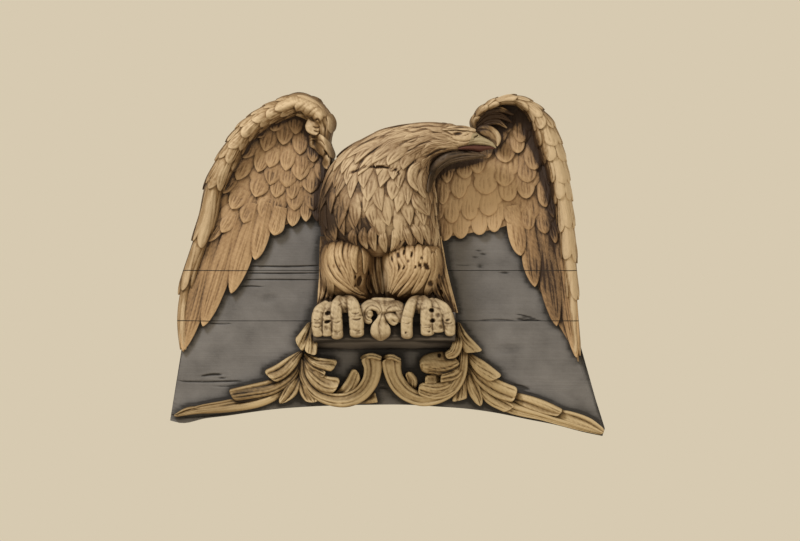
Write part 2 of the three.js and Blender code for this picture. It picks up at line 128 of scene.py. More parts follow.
FLOOR_Z, FLOOR_RADIUS, FLOOR_CORNERS = -1.0, 1.5, 96
turns = np.linspace(0, 2 * np.pi, FLOOR_CORNERS, endpoint=False)
rim = np.stack([FLOOR_RADIUS * np.cos(turns), FLOOR_RADIUS * np.sin(turns), 0 * turns + FLOOR_Z], -1)
floor_mesh = bpy.data.meshes.new("floor")
floor_mesh.from_pydata(rim.tolist(), [], [list(range(FLOOR_CORNERS))])
floor = bpy.data.objects.new("floor", floor_mesh)
bpy.context.collection.objects.link(floor)
pale = bpy.data.materials.new("pale_plaster_floor")
pale.use_nodes = True
pale.node_tree.nodes["Principled BSDF"].inputs["Base Color"].default_value = srgb("#DDD3C0")
pale.node_tree.nodes["Principled BSDF"].inputs["Roughness"].default_value = 0.9
floor_mesh.materials.append(pale)
print("floor at", FLOOR_Z, "m")

# %% [markdown]
# ## How a surface is worked out
# Every carved form here is a stack of closed rings, like the hoops of a barrel: a feather, a toe or a whole
# neck is one stack. The points of all rings of all feathers are computed together as one numpy array of
# shape (feathers, rings, points, 3), in millimetres. `x` runs to the right, `depth` is measured forwards
# from the flat back, and `z` runs up, so a point is `(x, -depth, z)`.
#
# Besides its place each point gets a `grain`: how far along and across its own feather it lies. The paint
# and the knife marks follow that later.


# %% Smooth curves
def spline(at, stations, values):
    """Smooth curve through values at stations: a cubic between two stations, whose slope at each is the
    mean of the slopes beside it."""
    stations, values = np.asarray(stations, float), np.asarray(values, float)
    slopes = np.gradient(values, stations, axis=0)
    at = np.clip(at, stations[0], stations[-1])
    i = np.clip(np.searchsorted(stations, at, "right") - 1, 0, len(stations) - 2)
    span = stations[i + 1] - stations[i]
    t = (at - stations[i]) / span
    if values.ndim > 1:
        span, t = span[..., None], t[..., None]
    a, b, slope_a, slope_b = values[i], values[i + 1], slopes[i] * span, slopes[i + 1] * span
    leave = (2 * t**3 - 3 * t**2 + 1) * a + (t**3 - 2 * t**2 + t) * slope_a
    return leave + (3 * t**2 - 2 * t**3) * b + (t**3 - t**2) * slope_b


def reach_along(points):
    """Length of a path from its first point to each of its points."""
    return np.append(0, np.cumsum(np.linalg.norm(np.diff(points, axis=0), axis=1)))


def walk(points, share):
    """Point at a share of the way along a path through the points, and the unit direction there."""
    points = np.asarray(points, float)
    reach = reach_along(points)
    at, step = np.asarray(share) * reach[-1], reach[-1] / 500
    way = spline(at + step, reach, points) - spline(at - step, reach, points)
    return spline(at, reach, points), way / np.linalg.norm(way, axis=-1, keepdims=True)


def evenly(share, values):
    """Smooth curve through values that stand at even steps from 0 to 1."""
    return spline(share, np.linspace(0, 1, len(values)), values)


def place(x, depth, z):
    """Points from x, the depth in front of the flat back, and z."""
    return np.stack(np.broadcast_arrays(x, -np.asarray(depth, float), z), -1)


def smooth(t):
    """0 below 0, 1 above 1, and an S-shaped ramp between."""
    t = np.clip(t, 0, 1)
    return t * t * (3 - 2 * t)


print("half-way along a bow:", walk([[0, 0], [1, 1], [2, 0]], 0.5)[0])

# %% [markdown]
# ## From rings to an object
# Blender wants one list of points and one of faces. Neighbouring rings are joined by four-sided faces and
# the two end rings are closed, so every feather is a shell without a hole. All the feathers of a piece go
# into one mesh, because a thousand separate objects would be slow. A mesh is filled from whole arrays, which
# is far quicker than adding points one by one.


# %% Rings into a mesh
def enclosed(rings):
    """Volume inside each stack: every ring face as two triangles, each with the middle of the stack as a
    tetrahedron. It is negative where the stack is inside out."""
    p = rings - rings.mean((1, 2), keepdims=True)
    q = np.roll(p, -1, axis=2)
    a, b, c, d = p[:, :-1], q[:, :-1], q[:, 1:], p[:, 1:]
    corner = (np.cross(a, b) * c).sum(-1) + (np.cross(a, c) * d).sum(-1)
    return corner.sum((1, 2)) / 6


def denser(rings, times):
    """Rings with even steps filled in between neighbouring rings and between neighbouring points."""
    for axis in (1, 2):
        near, far = (np.take(rings, np.arange(rings.shape[axis] - 1) + k, axis) for k in (0, 1))
        rings = np.concatenate([near + (far - near) * k / times for k in range(times)], axis)
    return rings


SHARP = math.radians(48)  # a bend between two faces that is steeper than this shows as an edge
seen = []  # points of all finished pieces, close enough together for a map of 2 mm cells


def add_piece(name, stacks, finish, stands_for=()):
    """Makes one object of stacks, each given as (rings, across, along, tint, cut). Neighbouring rings are
    joined by four-sided faces, and an end ring is closed by a strip between its two halves, so the number
    of points in a ring is even."""
    points, faces, count = [], [], 0
    for rings, across, along, tint, cut in stacks:
        shape = rings.shape[:3]
        extra = [np.broadcast_to(value, shape) for value in (across, along, tint, cut)]
        both = np.concatenate([rings, np.stack(extra, -1)], -1)
        both = np.where(enclosed(rings)[:, None, None, None] < 0, both[:, :, ::-1], both)
        index = count + np.arange(np.prod(shape)).reshape(shape)
        beside = np.roll(index, -1, axis=2)
        walls = np.stack([index[:, :-1], beside[:, :-1], beside[:, 1:], index[:, 1:]], -1)
        half = shape[2] // 2
        near, far = index[:, :, :half], index[:, :, : half - 1 : -1]
        ends = np.stack([near[..., :-1], far[..., :-1], far[..., 1:], near[..., 1:]], -1)
        points.append(both.reshape(-1, 7))
        faces += [walls.reshape(-1, 4), ends[:, 0].reshape(-1, 4), ends[:, -1, :, ::-1].reshape(-1, 4)]
        count += index.size
        seen.append(denser(rings, 3).reshape(-1, 3).astype(np.float32))
    points, faces = np.concatenate(points), np.concatenate(faces)
    mesh = bpy.data.meshes.new(name)
    mesh.vertices.add(len(points))
    mesh.vertices.foreach_set("co", (points[:, :3] * MM).ravel())
    mesh.loops.add(faces.size)
    mesh.loops.foreach_set("vertex_index", faces.ravel().astype(np.int32))
    mesh.polygons.add(len(faces))
    mesh.polygons.foreach_set("loop_start", np.arange(0, faces.size, 4, dtype=np.int32))
    mesh.update(calc_edges=True)
    mesh.attributes.new("grain", "FLOAT_VECTOR", "POINT").data.foreach_set("vector", points[:, 3:6].ravel())
    # cut: how dark each point is painted, with dirt and painted shade in the cuts, along edges and at roots
    mesh.attributes.new("cut", "FLOAT", "POINT").data.foreach_set("value", points[:, 6])
    mesh.shade_smooth()
    mesh.set_sharp_from_angle(angle=SHARP)
    mesh.materials.append(finish)
    piece = bpy.data.objects.new(name, mesh)
    bpy.context.collection.objects.link(piece)
    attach(piece, "root")
    if stands_for:
        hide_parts(*stands_for)
    print(f"{name}: {2 * len(faces)} triangles")


# %% [markdown]
# ## Knife strokes, cracks and wormholes
# On the wood these are real cuts and losses. They could be cut out as bodies of their own, but hundreds of
# such cuts are slow and leave torn meshes. The points of a surface lie close together here, so each is
# pushed towards the wall by as much as the deepest mark at its place. The same depth later darkens the
# colour, as dirt and painted shade in the cut.


# %% Strokes and pits
CUT_FROM = 30  # mm from the wall: what lies behind this is never cut, so that the backs stay flat
SHADE_AND_DIRT_AT, MOST_SHADE_AND_DIRT = 4, 1.4  # mm of depth that is darkened fully, as dirt and painted shade, and the most darkening that a cut can hold


def off_centre(x, z, spot):
    """How far points lie from the middle of a turned ellipse, squared, with 1 on its rim. The spot is its x,
    z, half-width, half-height and turn."""
    spot_x, spot_z, wide, high, turn = spot
    dx, dz = x - spot_x, z - spot_z
    a = (dx * math.cos(turn) + dz * math.sin(turn)) / wide
    b = (dz * math.cos(turn) - dx * math.sin(turn)) / high
    return a * a + b * b


def carve(stacks, strokes=(), pits=(), rough=0.5):
    """Knife strokes, pits and unevenness in finished stacks, as a push towards the wall. A stroke is a
    path in x and z with a half-width and a depth: it falls off by exp(-(gap / half-width) ** 2) and tapers
    to both ends. A pit is an ellipse of x, z, half-width, half-height, turn and depth with steeper sides.
    The unevenness is a sum of slanting waves, as a gouge leaves it."""
    cut_stacks = []
    for rings, across, along, tint, cut in stacks:
        x, depth, z = rings[..., 0], -rings[..., 1], rings[..., 2]
        mark = np.zeros(x.shape)
        for path, wide, deep in strokes:
            share = np.linspace(0, 1, max(32, int(reach_along(path)[-1] / wide)))
            p = walk(path, share)[0]
            gap = np.hypot(x[..., None] - p[:, 0], z[..., None] - p[:, 1])
            taper = wide * (0.3 + 0.7 * np.sin(np.pi * share) ** 0.5)
            mark = np.maximum(mark, deep * np.exp(-((gap / taper) ** 2)).max(-1))
        for *spot, deep in pits:
            mark = np.maximum(mark, deep * np.exp(-(off_centre(x, z, spot) ** 2)))
        waves = np.sin(0.31 * x + 0.17 * z) * np.sin(0.23 * z - 0.11 * x) + 0.5 * np.sin(0.7 * x + 0.5 * z)
        push = (mark + rough * waves) * (depth > CUT_FROM)
        moved = rings + push[..., None] * [0, 1, 0]
        # dirt and painted shade: the deeper a mark, the darker its colour
        dirt_and_shade = np.maximum(cut, np.minimum(mark / SHADE_AND_DIRT_AT, MOST_SHADE_AND_DIRT))
        cut_stacks.append((moved, across, along, tint, dirt_and_shade))
    return cut_stacks


print("on the rim of a hole:", off_centre(3, 0, (0, 0, 3, 2, 0)))

# %% [markdown]
# ## Laying one form on another
# A strand lies on the thigh and a leaf on the board, and both have to follow what is under them. Asking
# Blender for the surface below each point would be slow. The front of the relief is instead kept as a map
# of depths, one number for every cell of 2 mm, and read off where it is needed.


# %% Maps of depth
CELL = 2  # mm
LOW, HIGH = np.array([-640, -580]), np.array([640, 440])


def blurred(image, reach):
    """Mean over a square of cells, taken twice, from running sums."""
    for axis in (0, 1, 0, 1):
        size = image.shape[axis]
        pad = [(reach + 1, reach) if k == axis else (0, 0) for k in (0, 1)]
        sums = np.cumsum(np.pad(image, pad, mode="edge"), axis=axis)
        high, low = (np.take(sums, np.arange(size) + k, axis) for k in (2 * reach + 1, 0))
        image = (high - low) / (2 * reach + 1)
    return image


def depth_map(points, fill=4):
    """Seen from the front, how far forward the points reach in each cell. An empty cell takes its
    greatest neighbour, a few times over."""
    shape = tuple(((HIGH - LOW) // CELL)[::-1])
    depths = np.zeros(shape)
    ix, iz = ((points[:, k] - LOW[j]) / CELL for j, k in ((0, 0), (1, 2)))
    np.maximum.at(depths, (iz.astype(int), ix.astype(int)), -points[:, 1])
    for _ in range(fill):
        around = np.pad(depths, 1)
        near = np.max([around[i : i + shape[0], j : j + shape[1]] for i in range(3) for j in range(3)], 0)
        depths = np.where(depths <= 0, near, depths)
    return depths


def relief(stacks, soft=2):
    """A function of x and z that reads off how far forward the given stacks reach there: the map of
    depths, blurred, and read between the four nearest cells by their shares."""
    depths = depth_map(np.concatenate([denser(rings, 4).reshape(-1, 3) for rings, *_ in stacks]), 12)
    depths = blurred(depths, soft)

    def at(x, z):
        right = np.clip((x - LOW[0]) / CELL - 0.5, 0, depths.shape[1] - 1.01)
        up = np.clip((z - LOW[1]) / CELL - 0.5, 0, depths.shape[0] - 1.01)
        i, j = up.astype(int), right.astype(int)
        s, t = up - i, right - j
        low = (1 - t) * depths[i, j] + t * depths[i, j + 1]
        return (1 - s) * low + s * ((1 - t) * depths[i + 1, j] + t * depths[i + 1, j + 1])

    return at


print("cells in the map of depths:", (HIGH - LOW) // CELL)

# %% [markdown]
# ## Leaves, strands and single feathers
# A leaf of the sprays, a strand of a thigh and a pointed feather of the breast are each one tongue of wood
# with a few hollow flutes. It could be sculpted by hand. Here it is given by the line that it follows in the
# picture and by its half-widths on the way, which are quick to read off and to correct.

# %% Strips along a line
TIP_TURN = 1.53  # radians, just short of a quarter turn, so that an end never closes to nothing
BEFORE_TIP = 0.65  # share of a strip's rings that lie before its end


def strip(
    base, spine, halves, height, crown=4, hollow=3, flutes=2, cap=1.0, point=1.0, curl=0, root=0.3,
    hook=0, dish=0, sink=4, size=(48, 21), seed=0,
):
    """A strip on what is already carved, along a curved spine in x and z. u runs along it and v from -1 to
    1 across it. Its face is the base plus its height, crowned by 1 - |v| ** 2.4 and cut by sharp grooves,
    1 - |sin| ** 0.45 of v, which come and go along it. It ends in an arc, which a power of the cosine
    draws to a point; cap is the length of that end in half-widths. The root is rounded and lower, curl
    lifts the end, dish hollows one half of it, and hook draws one corner of the end out."""
    spine = np.array(spine, float)
    reach = reach_along(spine)[-1]
    cap = min(0.9, cap * halves[-1] / reach)
    s = np.linspace(0, 1, size[0])[:, None]
    v = np.linspace(-1, 1, size[1])[None, :]
    turn = np.clip((s - BEFORE_TIP) / (1 - BEFORE_TIP), 0, 1) * TIP_TURN
    u = np.where(s < BEFORE_TIP, s / BEFORE_TIP * (1 - cap), 1 - cap + cap * np.sin(turn) / np.sin(TIP_TURN))
    half = evenly(u, halves) * np.maximum(np.cos(turn) ** point, 0.03)
    half = half * np.sqrt(np.clip(u * reach / halves[0], 0.02, 1))
    p, way = walk(spine, u[:, 0])
    out = hook * half * v * smooth(2.5 * u - 1.5)
    x = p[:, :1] - way[:, 1:] * half * v + way[:, :1] * out
    z = p[:, 1:] + way[:, :1] * half * v + way[:, 1:] * out
    rng = np.random.default_rng(seed)
    tint, side = rng.uniform(), 0.35 * rng.choice([-1, 1])
    lane = (v + (1 - v * v) * 0.2 * np.sin(4 * u + seed) + 1) * flutes / 2
    strong = np.clip(0.65 + 0.5 * np.sin(2.4 * np.round(lane) + 1.7 * seed + 3.5 * u), 0.15, 1)
    flute = strong * (1 - np.abs(np.sin(np.pi * lane)) ** 0.45)
    lift = height * (root + (1 - root) * smooth(2.5 * u)) + curl * u**4
    lift = lift - dish * np.exp(-(((v - side) / 0.4) ** 2)) * smooth(3 * u)
    below = base(x, z)
    front = place(x, below + lift + crown * (1 - np.abs(v) ** 2.4) - hollow * flute, z)
    behind = [-1, size[1] // 2, 0]
    under = place(x, below - sink, z)[:, behind]
    # painted shade and dirt in the flutes, along both edges and at the root
    across, dirt_and_shade = half * v, 0.85 * flute + 0.2 * np.abs(v) ** 10 + 0.3 * smooth(1 - 4 * u)
    across, dirt_and_shade = (np.concatenate([value, value[:, behind]], 1)[None] for value in (across, dirt_and_shade))
    return np.concatenate([front, under], 1)[None], across, reach * u[None], tint, dirt_and_shade


# %% [markdown]
# ## The finishes
# The carving is softwood under old ochre oil paint, worn on the edges and with dirt and varnish in the cuts.
# Shade is painted into the colour as well, so each point later gets a number for its recess, which is 1 deep
# in a groove, as painted shade and dirt, and -1 on an edge, as a painted highlight and wear. The colour runs
# along a ramp by that number, with some streaks of paint and a different tint for each feather.
#
# The same number for all would look airbrushed. The streaks are therefore noise that is stretched along
# each feather's own `grain`, as the brush and the knife went.

# %% What both paints share
def new_paint(name, roughness, gloss):
    """A new material with its shader set, and the sockets that its colour starts from: where a point lies on
    the relief, and the painted shade and dirt of its recess and of its cuts. Old oil paint has the shader's
    own
    IOR of 1.5 and is not metallic."""
    made = bpy.data.materials.new(name)
    made.use_nodes = True
    tree = made.node_tree
    shader = tree.nodes["Principled BSDF"]
    shader.inputs["Roughness"].default_value = roughness
    shader.inputs["Specular IOR Level"].default_value = gloss
    place_at = node(tree, "ShaderNodeTexCoord").outputs["Object"]
    recess_shade_and_dirt, cut = (
        node(tree, "ShaderNodeAttribute", attribute_name=which).outputs["Fac"] for which in ("recess_shade_and_dirt", "cut")
    )
    return made, tree, shader, place_at, recess_shade_and_dirt, cut


def toned(tree, level, layers, colours, start):
    """Colour of a paint: to the level come layers of noise, each spread evenly round 0 by its gain, and the
    sum is looked up on a ramp of three colours that begins at start."""
    for value, gain in layers:
        offset = node(tree, "ShaderNodeMath", {0: value, 1: gain, 2: -gain / 2}, operation="MULTIPLY_ADD")
        both = node(tree, "ShaderNodeMath", {0: level, 1: offset.outputs[0]}, operation="ADD")
        level = both.outputs[0]
    ramp = node(tree, "ShaderNodeValToRGB", {"Fac": level})
    stops = ramp.color_ramp.elements
    stops[0].position, stops[0].color = start, srgb(colours[0])
    stops[1].position, stops[1].color = 0.95, srgb(colours[2])
    stops.new(0.5).color = srgb(colours[1])
    return ramp.outputs[0]


# %% Wood under worn paint
SEAM_UPPER, SEAM_LOWER = -84, -223  # heights of the two open joints between the planks
STROKE_WIDE, STROKE_LONG = 1.6, 30  # mm of one stroke of the brush or knife, across and along a feather
PATCH, PORE, WAVER = 62.5, 2.381, 40  # mm across a patch of wear, a pore and one waver of a joint
LOT = 900  # how far apart two feathers read the noise, so that their strokes do not match
SEAM_HALF, SEAM_SWAY = 0.0012, 0.003  # metres: half the height of a joint's dark line, and how far it sways


def carved_finish(name, dark, middle, light, roughness=0.62, streaks=0.1, seams=()):
    """Carved softwood under worn oil paint, satin: a ramp from dirt and painted shade in the cuts and hollows
    to worn edges with a painted highlight. The level on a plain face is 0.55, less a half of the recess shade
    and a third of the cut."""
    made, tree, shader, place_at, recess_shade_and_dirt, cut = new_paint(name, roughness, 0.35)
    grain = node(tree, "ShaderNodeAttribute", attribute_name="grain").outputs["Vector"]
    parts = node(tree, "ShaderNodeSeparateXYZ", {0: grain})
    across = node(tree, "ShaderNodeMath", {0: parts.outputs[0], 1: STROKE_WIDE}, operation="DIVIDE")
    along = node(tree, "ShaderNodeMath", {0: parts.outputs[1], 1: STROKE_LONG}, operation="DIVIDE")
    lot = node(tree, "ShaderNodeMath", {0: parts.outputs[2], 1: LOT}, operation="MULTIPLY")
    stroke_at = node(
        tree, "ShaderNodeCombineXYZ", {0: across.outputs[0], 1: along.outputs[0], 2: lot.outputs[0]}
    )
    strokes, patches, pores, wander = (
        node(tree, "ShaderNodeTexNoise", {"Vector": at, "Scale": scale, "Detail": detail}).outputs[0]
        for at, scale, detail in (
            (stroke_at.outputs[0], 1, 3),
            (place_at, 1 / (PATCH * MM), 3),
            (place_at, 1 / (PORE * MM), 2),
            (place_at, 1 / (WAVER * MM), 2),
        )
    )
    level = node(tree, "ShaderNodeMath", {0: recess_shade_and_dirt, 1: -0.5, 2: 0.55}, operation="MULTIPLY_ADD")
    level = node(tree, "ShaderNodeMath", {0: cut, 1: -0.36, 2: level.outputs[0]}, operation="MULTIPLY_ADD")
    layers = ((strokes, streaks * 3.5), (patches, 0.4), (pores, 0.25), (parts.outputs[2], 0.16))
    shade = toned(tree, level.outputs[0], layers, (dark, middle, light), 0.08)
    # the open joints run on through the carving as dark lines that sway a little
    spot = node(tree, "ShaderNodeSeparateXYZ", {0: place_at})
    values = {0: wander, 1: SEAM_SWAY, 2: spot.outputs[2]}
    height = node(tree, "ShaderNodeMath", values, operation="MULTIPLY_ADD")
    for seam in seams:
        line = seam * MM + SEAM_SWAY / 2
        gap = node(tree, "ShaderNodeMath", {0: height.outputs[0], 1: line, 2: SEAM_HALF}, operation="COMPARE")
        mixed = node(
            tree, "ShaderNodeMix", {0: gap.outputs[0], 6: shade, 7: srgb("#2B2118")}, data_type="RGBA"
        )
        shade = mixed.outputs[2]
    tree.links.new(shade, shader.inputs["Base Color"])
    rough = node(tree, "ShaderNodeMath", {0: strokes, 1: 0.6, 2: pores}, operation="MULTIPLY_ADD")
    bump = node(tree, "ShaderNodeBump", {"Height": rough.outputs[0], "Strength": 0.5, "Distance": 0.0012})
    tree.links.new(bump.outputs[0], shader.inputs["Normal"])
    return made


JOINTS = (SEAM_UPPER, SEAM_LOWER)
# the rolled edges stand out furthest beside the bird, so their ochre is rubbed to a pale buff
wing_edge_paint = carved_finish("rubbed_ochre_paint", "#3E2B1A", "#927652", "#CBB594", seams=JOINTS)
# the hollows are touched less and are warmer, and a dark line of painted shade runs round each feather
wing_paint = carved_finish("worn_ochre_paint", "#38271B", "#9C7D5A", "#C6A881", seams=JOINTS)
# umber shows through on the body, which looks browner and deeper than the wings
body_paint = carved_finish("worn_umber_and_ochre_paint", "#352518", "#876C4E", "#C4AE8E")
# the thighs have kept the most yellow
thigh_paint = carved_finish("golden_ochre_paint", "#3E2A15", "#917451", "#CBB28D")
# thin white over brown wood looks like old bone
foot_paint = carved_finish("bone_white_paint", "#2E2217", "#7D684D", "#C2B091")
# a trace of green in the ochre says leaves
spray_paint = carved_finish("olive_ochre_paint", "#33271A", "#8C7450", "#C5B08A", seams=JOINTS)
print("paints of the carving:", [paint.name for paint in bpy.data.materials if paint.name.endswith("_paint")])

# %% [markdown]
# ## Grey paint on the boards
# The ground is planed flat and painted with a wide brush along its grain, so its streaks lie level all over.
# Its pattern follows the place on the relief and no feather's grain. The paint is matt, cloudy with age, and
# rubbed nowhere but at the edges.


# %% Grey paint
STREAK_LONG, STREAK_HIGH = 125, 4.1667  # mm of a faint streak along the grain, and its height
CLOUD, SPECK = 90.91, 3.3333  # mm across a cloud of old paint and a speck of dirt


def board_finish(name, dark, middle, light):
    """Flat softwood boards under matt grey oil paint, rubbed and dirty along the level grain. The level on a
    plain face is 0.5, less six tenths of the cut and two thirds of the recess shade, which paints the shade
    round the carving onto the boards."""
    made, tree, shader, place_at, recess_shade_and_dirt, cut = new_paint(name, 0.75, 0.3)
    scale = [1 / (mm * MM) for mm in (STREAK_LONG, STREAK_LONG, STREAK_HIGH)]
    stretched = node(tree, "ShaderNodeMapping", {"Vector": place_at, "Scale": scale})
    streaks, clouds, specks = (
        node(tree, "ShaderNodeTexNoise", {"Vector": at, "Scale": scale, "Detail": detail}).outputs[0]
        for at, scale, detail in (
            (stretched.outputs[0], 1, 4),
            (place_at, 1 / (CLOUD * MM), 4),
            (place_at, 1 / (SPECK * MM), 2),
        )
    )
    worn = node(tree, "ShaderNodeMath", {0: cut, 1: -0.6, 2: 0.5}, operation="MULTIPLY_ADD")
    level = node(tree, "ShaderNodeMath", {0: recess_shade_and_dirt, 1: -0.65, 2: worn.outputs[0]}, operation="MULTIPLY_ADD")
    layers = ((streaks, 0.2), (clouds, 1.1), (specks, 0.2))
    shade = toned(tree, level.outputs[0], layers, (dark, middle, light), 0.05)
    tree.links.new(shade, shader.inputs["Base Color"])
    bump = node(tree, "ShaderNodeBump", {"Height": streaks, "Strength": 0.4, "Distance": 0.0015})
    tree.links.new(bump.outputs[0], shader.inputs["Normal"])
    return made


# a cool, cloudy grey without shine, in front of which the warm carving stands out
board_paint = board_finish("matt_grey_paint", "#3B3938", "#6E6C6C", "#868484")
# the same paint darkened to nearly black as painted shadow under the perch, and grey only on its edges
shelf_shadow_paint = board_finish("grey_paint_as_painted_shadow", "#1A1716", "#322D2B", "#6B6561")
print("paints of the boards:", board_paint.name, shelf_shadow_paint.name)

# %% [markdown]
# ## The three boards
# Two open joints run level across the ground, so it is three planks. Each is a stack of rings from its top
# to its bottom edge: the front of a ring lies on the painted face, and its back on the flat back. The
# lowest board flares out at its corners and is cut to an arch below.

# %% Boards
GROUND = 46  # mm: thickness of the planks, and so the depth of the painted face
GAP = 0.8  # mm that the face is cut back on either side of a joint
EDGE = 40  # the cut goes over one fortieth of a board's height
BOARD_TOP = 120
SIDE_LEFT = ([-496, -318, -60, 120], [-602, -570, -540, -460])
SIDE_RIGHT = ([-541, -520, -430, -335, -60, 120], [592, 599, 553, 527, 506, 460])
ARCH = (
    [-602, -574, -503, -444, -376, -313, -219, -61, 59, 139, 220, 309, 381, 462, 543, 592],
    [-498, -505, -492, -485, -475, -467, -460, -455, -455, -460, -466, -479, -494, -510, -531, -541],
)


def board(top, bottom):
    """Board between two heights: x runs between the curves of the two sides, z from the top edge to the
    bottom edge, and the last board's bottom edge is the arch. At a joint the front is cut back by the gap,
    and the backs meet. A ring runs down the front and up the back. The rows stand close, because the cracks
    lie level."""
    s = np.linspace(0, 1, 92)[None, :]
    t = np.linspace(0, 1, 120)[:, None]
    if bottom is None:
        low_left, low_right = SIDE_LEFT[0][0], SIDE_RIGHT[0][0]
        x_low = ARCH[0][0] + (ARCH[0][-1] - ARCH[0][0]) * s
        z_low = spline(x_low, *ARCH)
    else:
        low_left = low_right = bottom
        x_low = (1 - s) * np.interp(bottom, *SIDE_LEFT) + s * np.interp(bottom, *SIDE_RIGHT)
        z_low = bottom + 0 * s
    z_left = top + (low_left - top) * t
    z_right = top + (low_right - top) * t
    x_left, x_right = np.interp(z_left, *SIDE_LEFT), np.interp(z_right, *SIDE_RIGHT)
    x_top = (1 - s) * x_left[0] + s * x_right[0]
    corner_x = (1 - t) * x_top + t * x_low
    x = corner_x + (1 - s) * (x_left - corner_x[:, :1]) + s * (x_right - corner_x[:, -1:])
    z_sides = (1 - s) * z_left + s * z_right
    z = z_sides + t * (z_low - z_sides[-1:])
    from_top = smooth(1 - EDGE * t) * GAP * (top < BOARD_TOP)
    from_bottom = smooth(EDGE * t - EDGE + 1) * GAP * (bottom is not None)
    front = place(x, GROUND, z - from_top + from_bottom)
    back = place(x, 0, z)[np.linspace(len(t) - 1, 0, 14).astype(int)]
    rings = np.concatenate([front, back], 0).swapaxes(0, 1)[None]
    return rings, rings[..., 2], rings[..., 0], 0.5, 0


CHECKS = [  # hairline checks in the boards: path, half-width and depth
    [[[-384, -71], [-280, -73], [-185, -70]], 2.0, 4], [[[-392, -91], [-300, -92], [-190, -91]], 1.8, 3.5],
    [[[-400, -109], [-300, -109], [-196, -110]], 1.8, 3],
    [[[-412, -127], [-380, -127], [-350, -128]], 1.8, 3],
    [[[-494, -229], [-462, -231], [-435, -230]], 1.8, 3],
    [[[-574, -390], [-500, -391], [-404, -389]], 2.0, 4],
    [[[-482, -403], [-440, -404], [-405, -403]], 1.6, 2],
    [[[-598, -484], [-556, -488], [-440, -478]], 2.0, 4],
    [[[-514, -375], [-480, -371], [-466, -372], [-458, -381]], 2.6, 5],
    [[[350, -401], [374, -405], [390, -416], [398, -428]], 3.0, 5],
    [[[352, -403], [378, -420], [398, -428]], 1.8, 3],
    [[[245, -25], [262, -38], [274, -50]], 1.8, 3], [[[236, -40], [250, -62], [255, -78]], 1.6, 2],
    [[[185, -68], [210, -70], [230, -69]], 1.6, 1.5], [[[258, -221], [300, -219], [350, -222]], 1.6, 2],
    [[[361, -205], [364, -218], [392, -220], [414, -221]], 1.8, 4],
    [[[361, -205], [388, -212], [412, -221]], 1.8, 4],
]
DENTS = [  # chips: x, z, half-width, half-height, turn and depth
    [378, -215, 12, 4, -0.2, 2], [322, -90, 11, 3, 0, 2.5], [-11, -407, 5, 4, 0, 7],
    [372, -409, 8, 5, -0.5, 4], [-330, -160, 26, 12, 0.2, 1.2], [330, -300, 40, 14, 0.1, 1.2],
]
for name, top, bottom in (
    ("upper", BOARD_TOP, SEAM_UPPER),
    ("middle", SEAM_UPPER, SEAM_LOWER),
    ("lower", SEAM_LOWER, None),
):
    plank = carve([board(top, bottom)], CHECKS, DENTS, rough=0.12)
    add_piece(f"{name}_board", plank, board_paint, [f"{name}_plank"])

# %% [markdown]
# ## Laying feathers on a surface
# A carver draws rows of feathers on a rounded form and cuts each one to overlap the next. Here too the
# form comes first: a *host* is a smooth surface given by two numbers. A feather is a tongue that starts
# flush in the host, rises towards its tip and ends in a small step down to the next row. Its face is
# crowned and scored by a few gouge cuts that fan out towards the tip.


# %% Hosts
def lie(host, spot):
    """Points of a host at pairs of its two parameters, and the outward normals: the cross product of the
    two slopes, each measured over a small step to both sides."""
    step = host["step"]
    spot = np.clip(spot, host["low"], host["high"])
    east, west = host["at"](spot + [step, 0]), host["at"](spot - [step, 0])
    north, south = host["at"](spot + [0, step]), host["at"](spot - [0, step])
    normal = host["turn"] * np.cross(east - west, north - south)
    return host["at"](spot), normal / np.linalg.norm(normal, axis=-1, keepdims=True)


def host(at, step, low, high, middle):
    """A host surface, kept between the lowest and the highest pair of parameters, whose normals are turned
    so that they face the viewer at its middle."""
    made = {"at": at, "step": step, "low": low, "high": high, "turn": 1}
    made["turn"] = -np.sign(lie(made, np.array(middle))[1][1])
    return made


def stretch(host, spot):
    """How many millimetres one unit of each of the host's two parameters is at the spots."""
    step = host["step"]
    here = host["at"](spot)
    over = [np.linalg.norm(host["at"](spot + move) - here, axis=-1) / step for move in ([step, 0], [0, step])]
    return np.stack(over, -1)


FEATHER_FLAT = 57  # mm: depth of the flat plate that the wings' own feathers lie on
field_host = host(lambda spot: place(spot[..., 0], FEATHER_FLAT, spot[..., 1]), 1, -1e6, 1e6, (0, 0))
print("a millimetre of the flat host is", stretch(field_host, np.zeros(2)), "mm")


# %% Feathers
def each(values):
    """One value a feather, shaped to meet arrays of (feathers, rings, points)."""
    return np.asarray(values, float)[:, None, None]


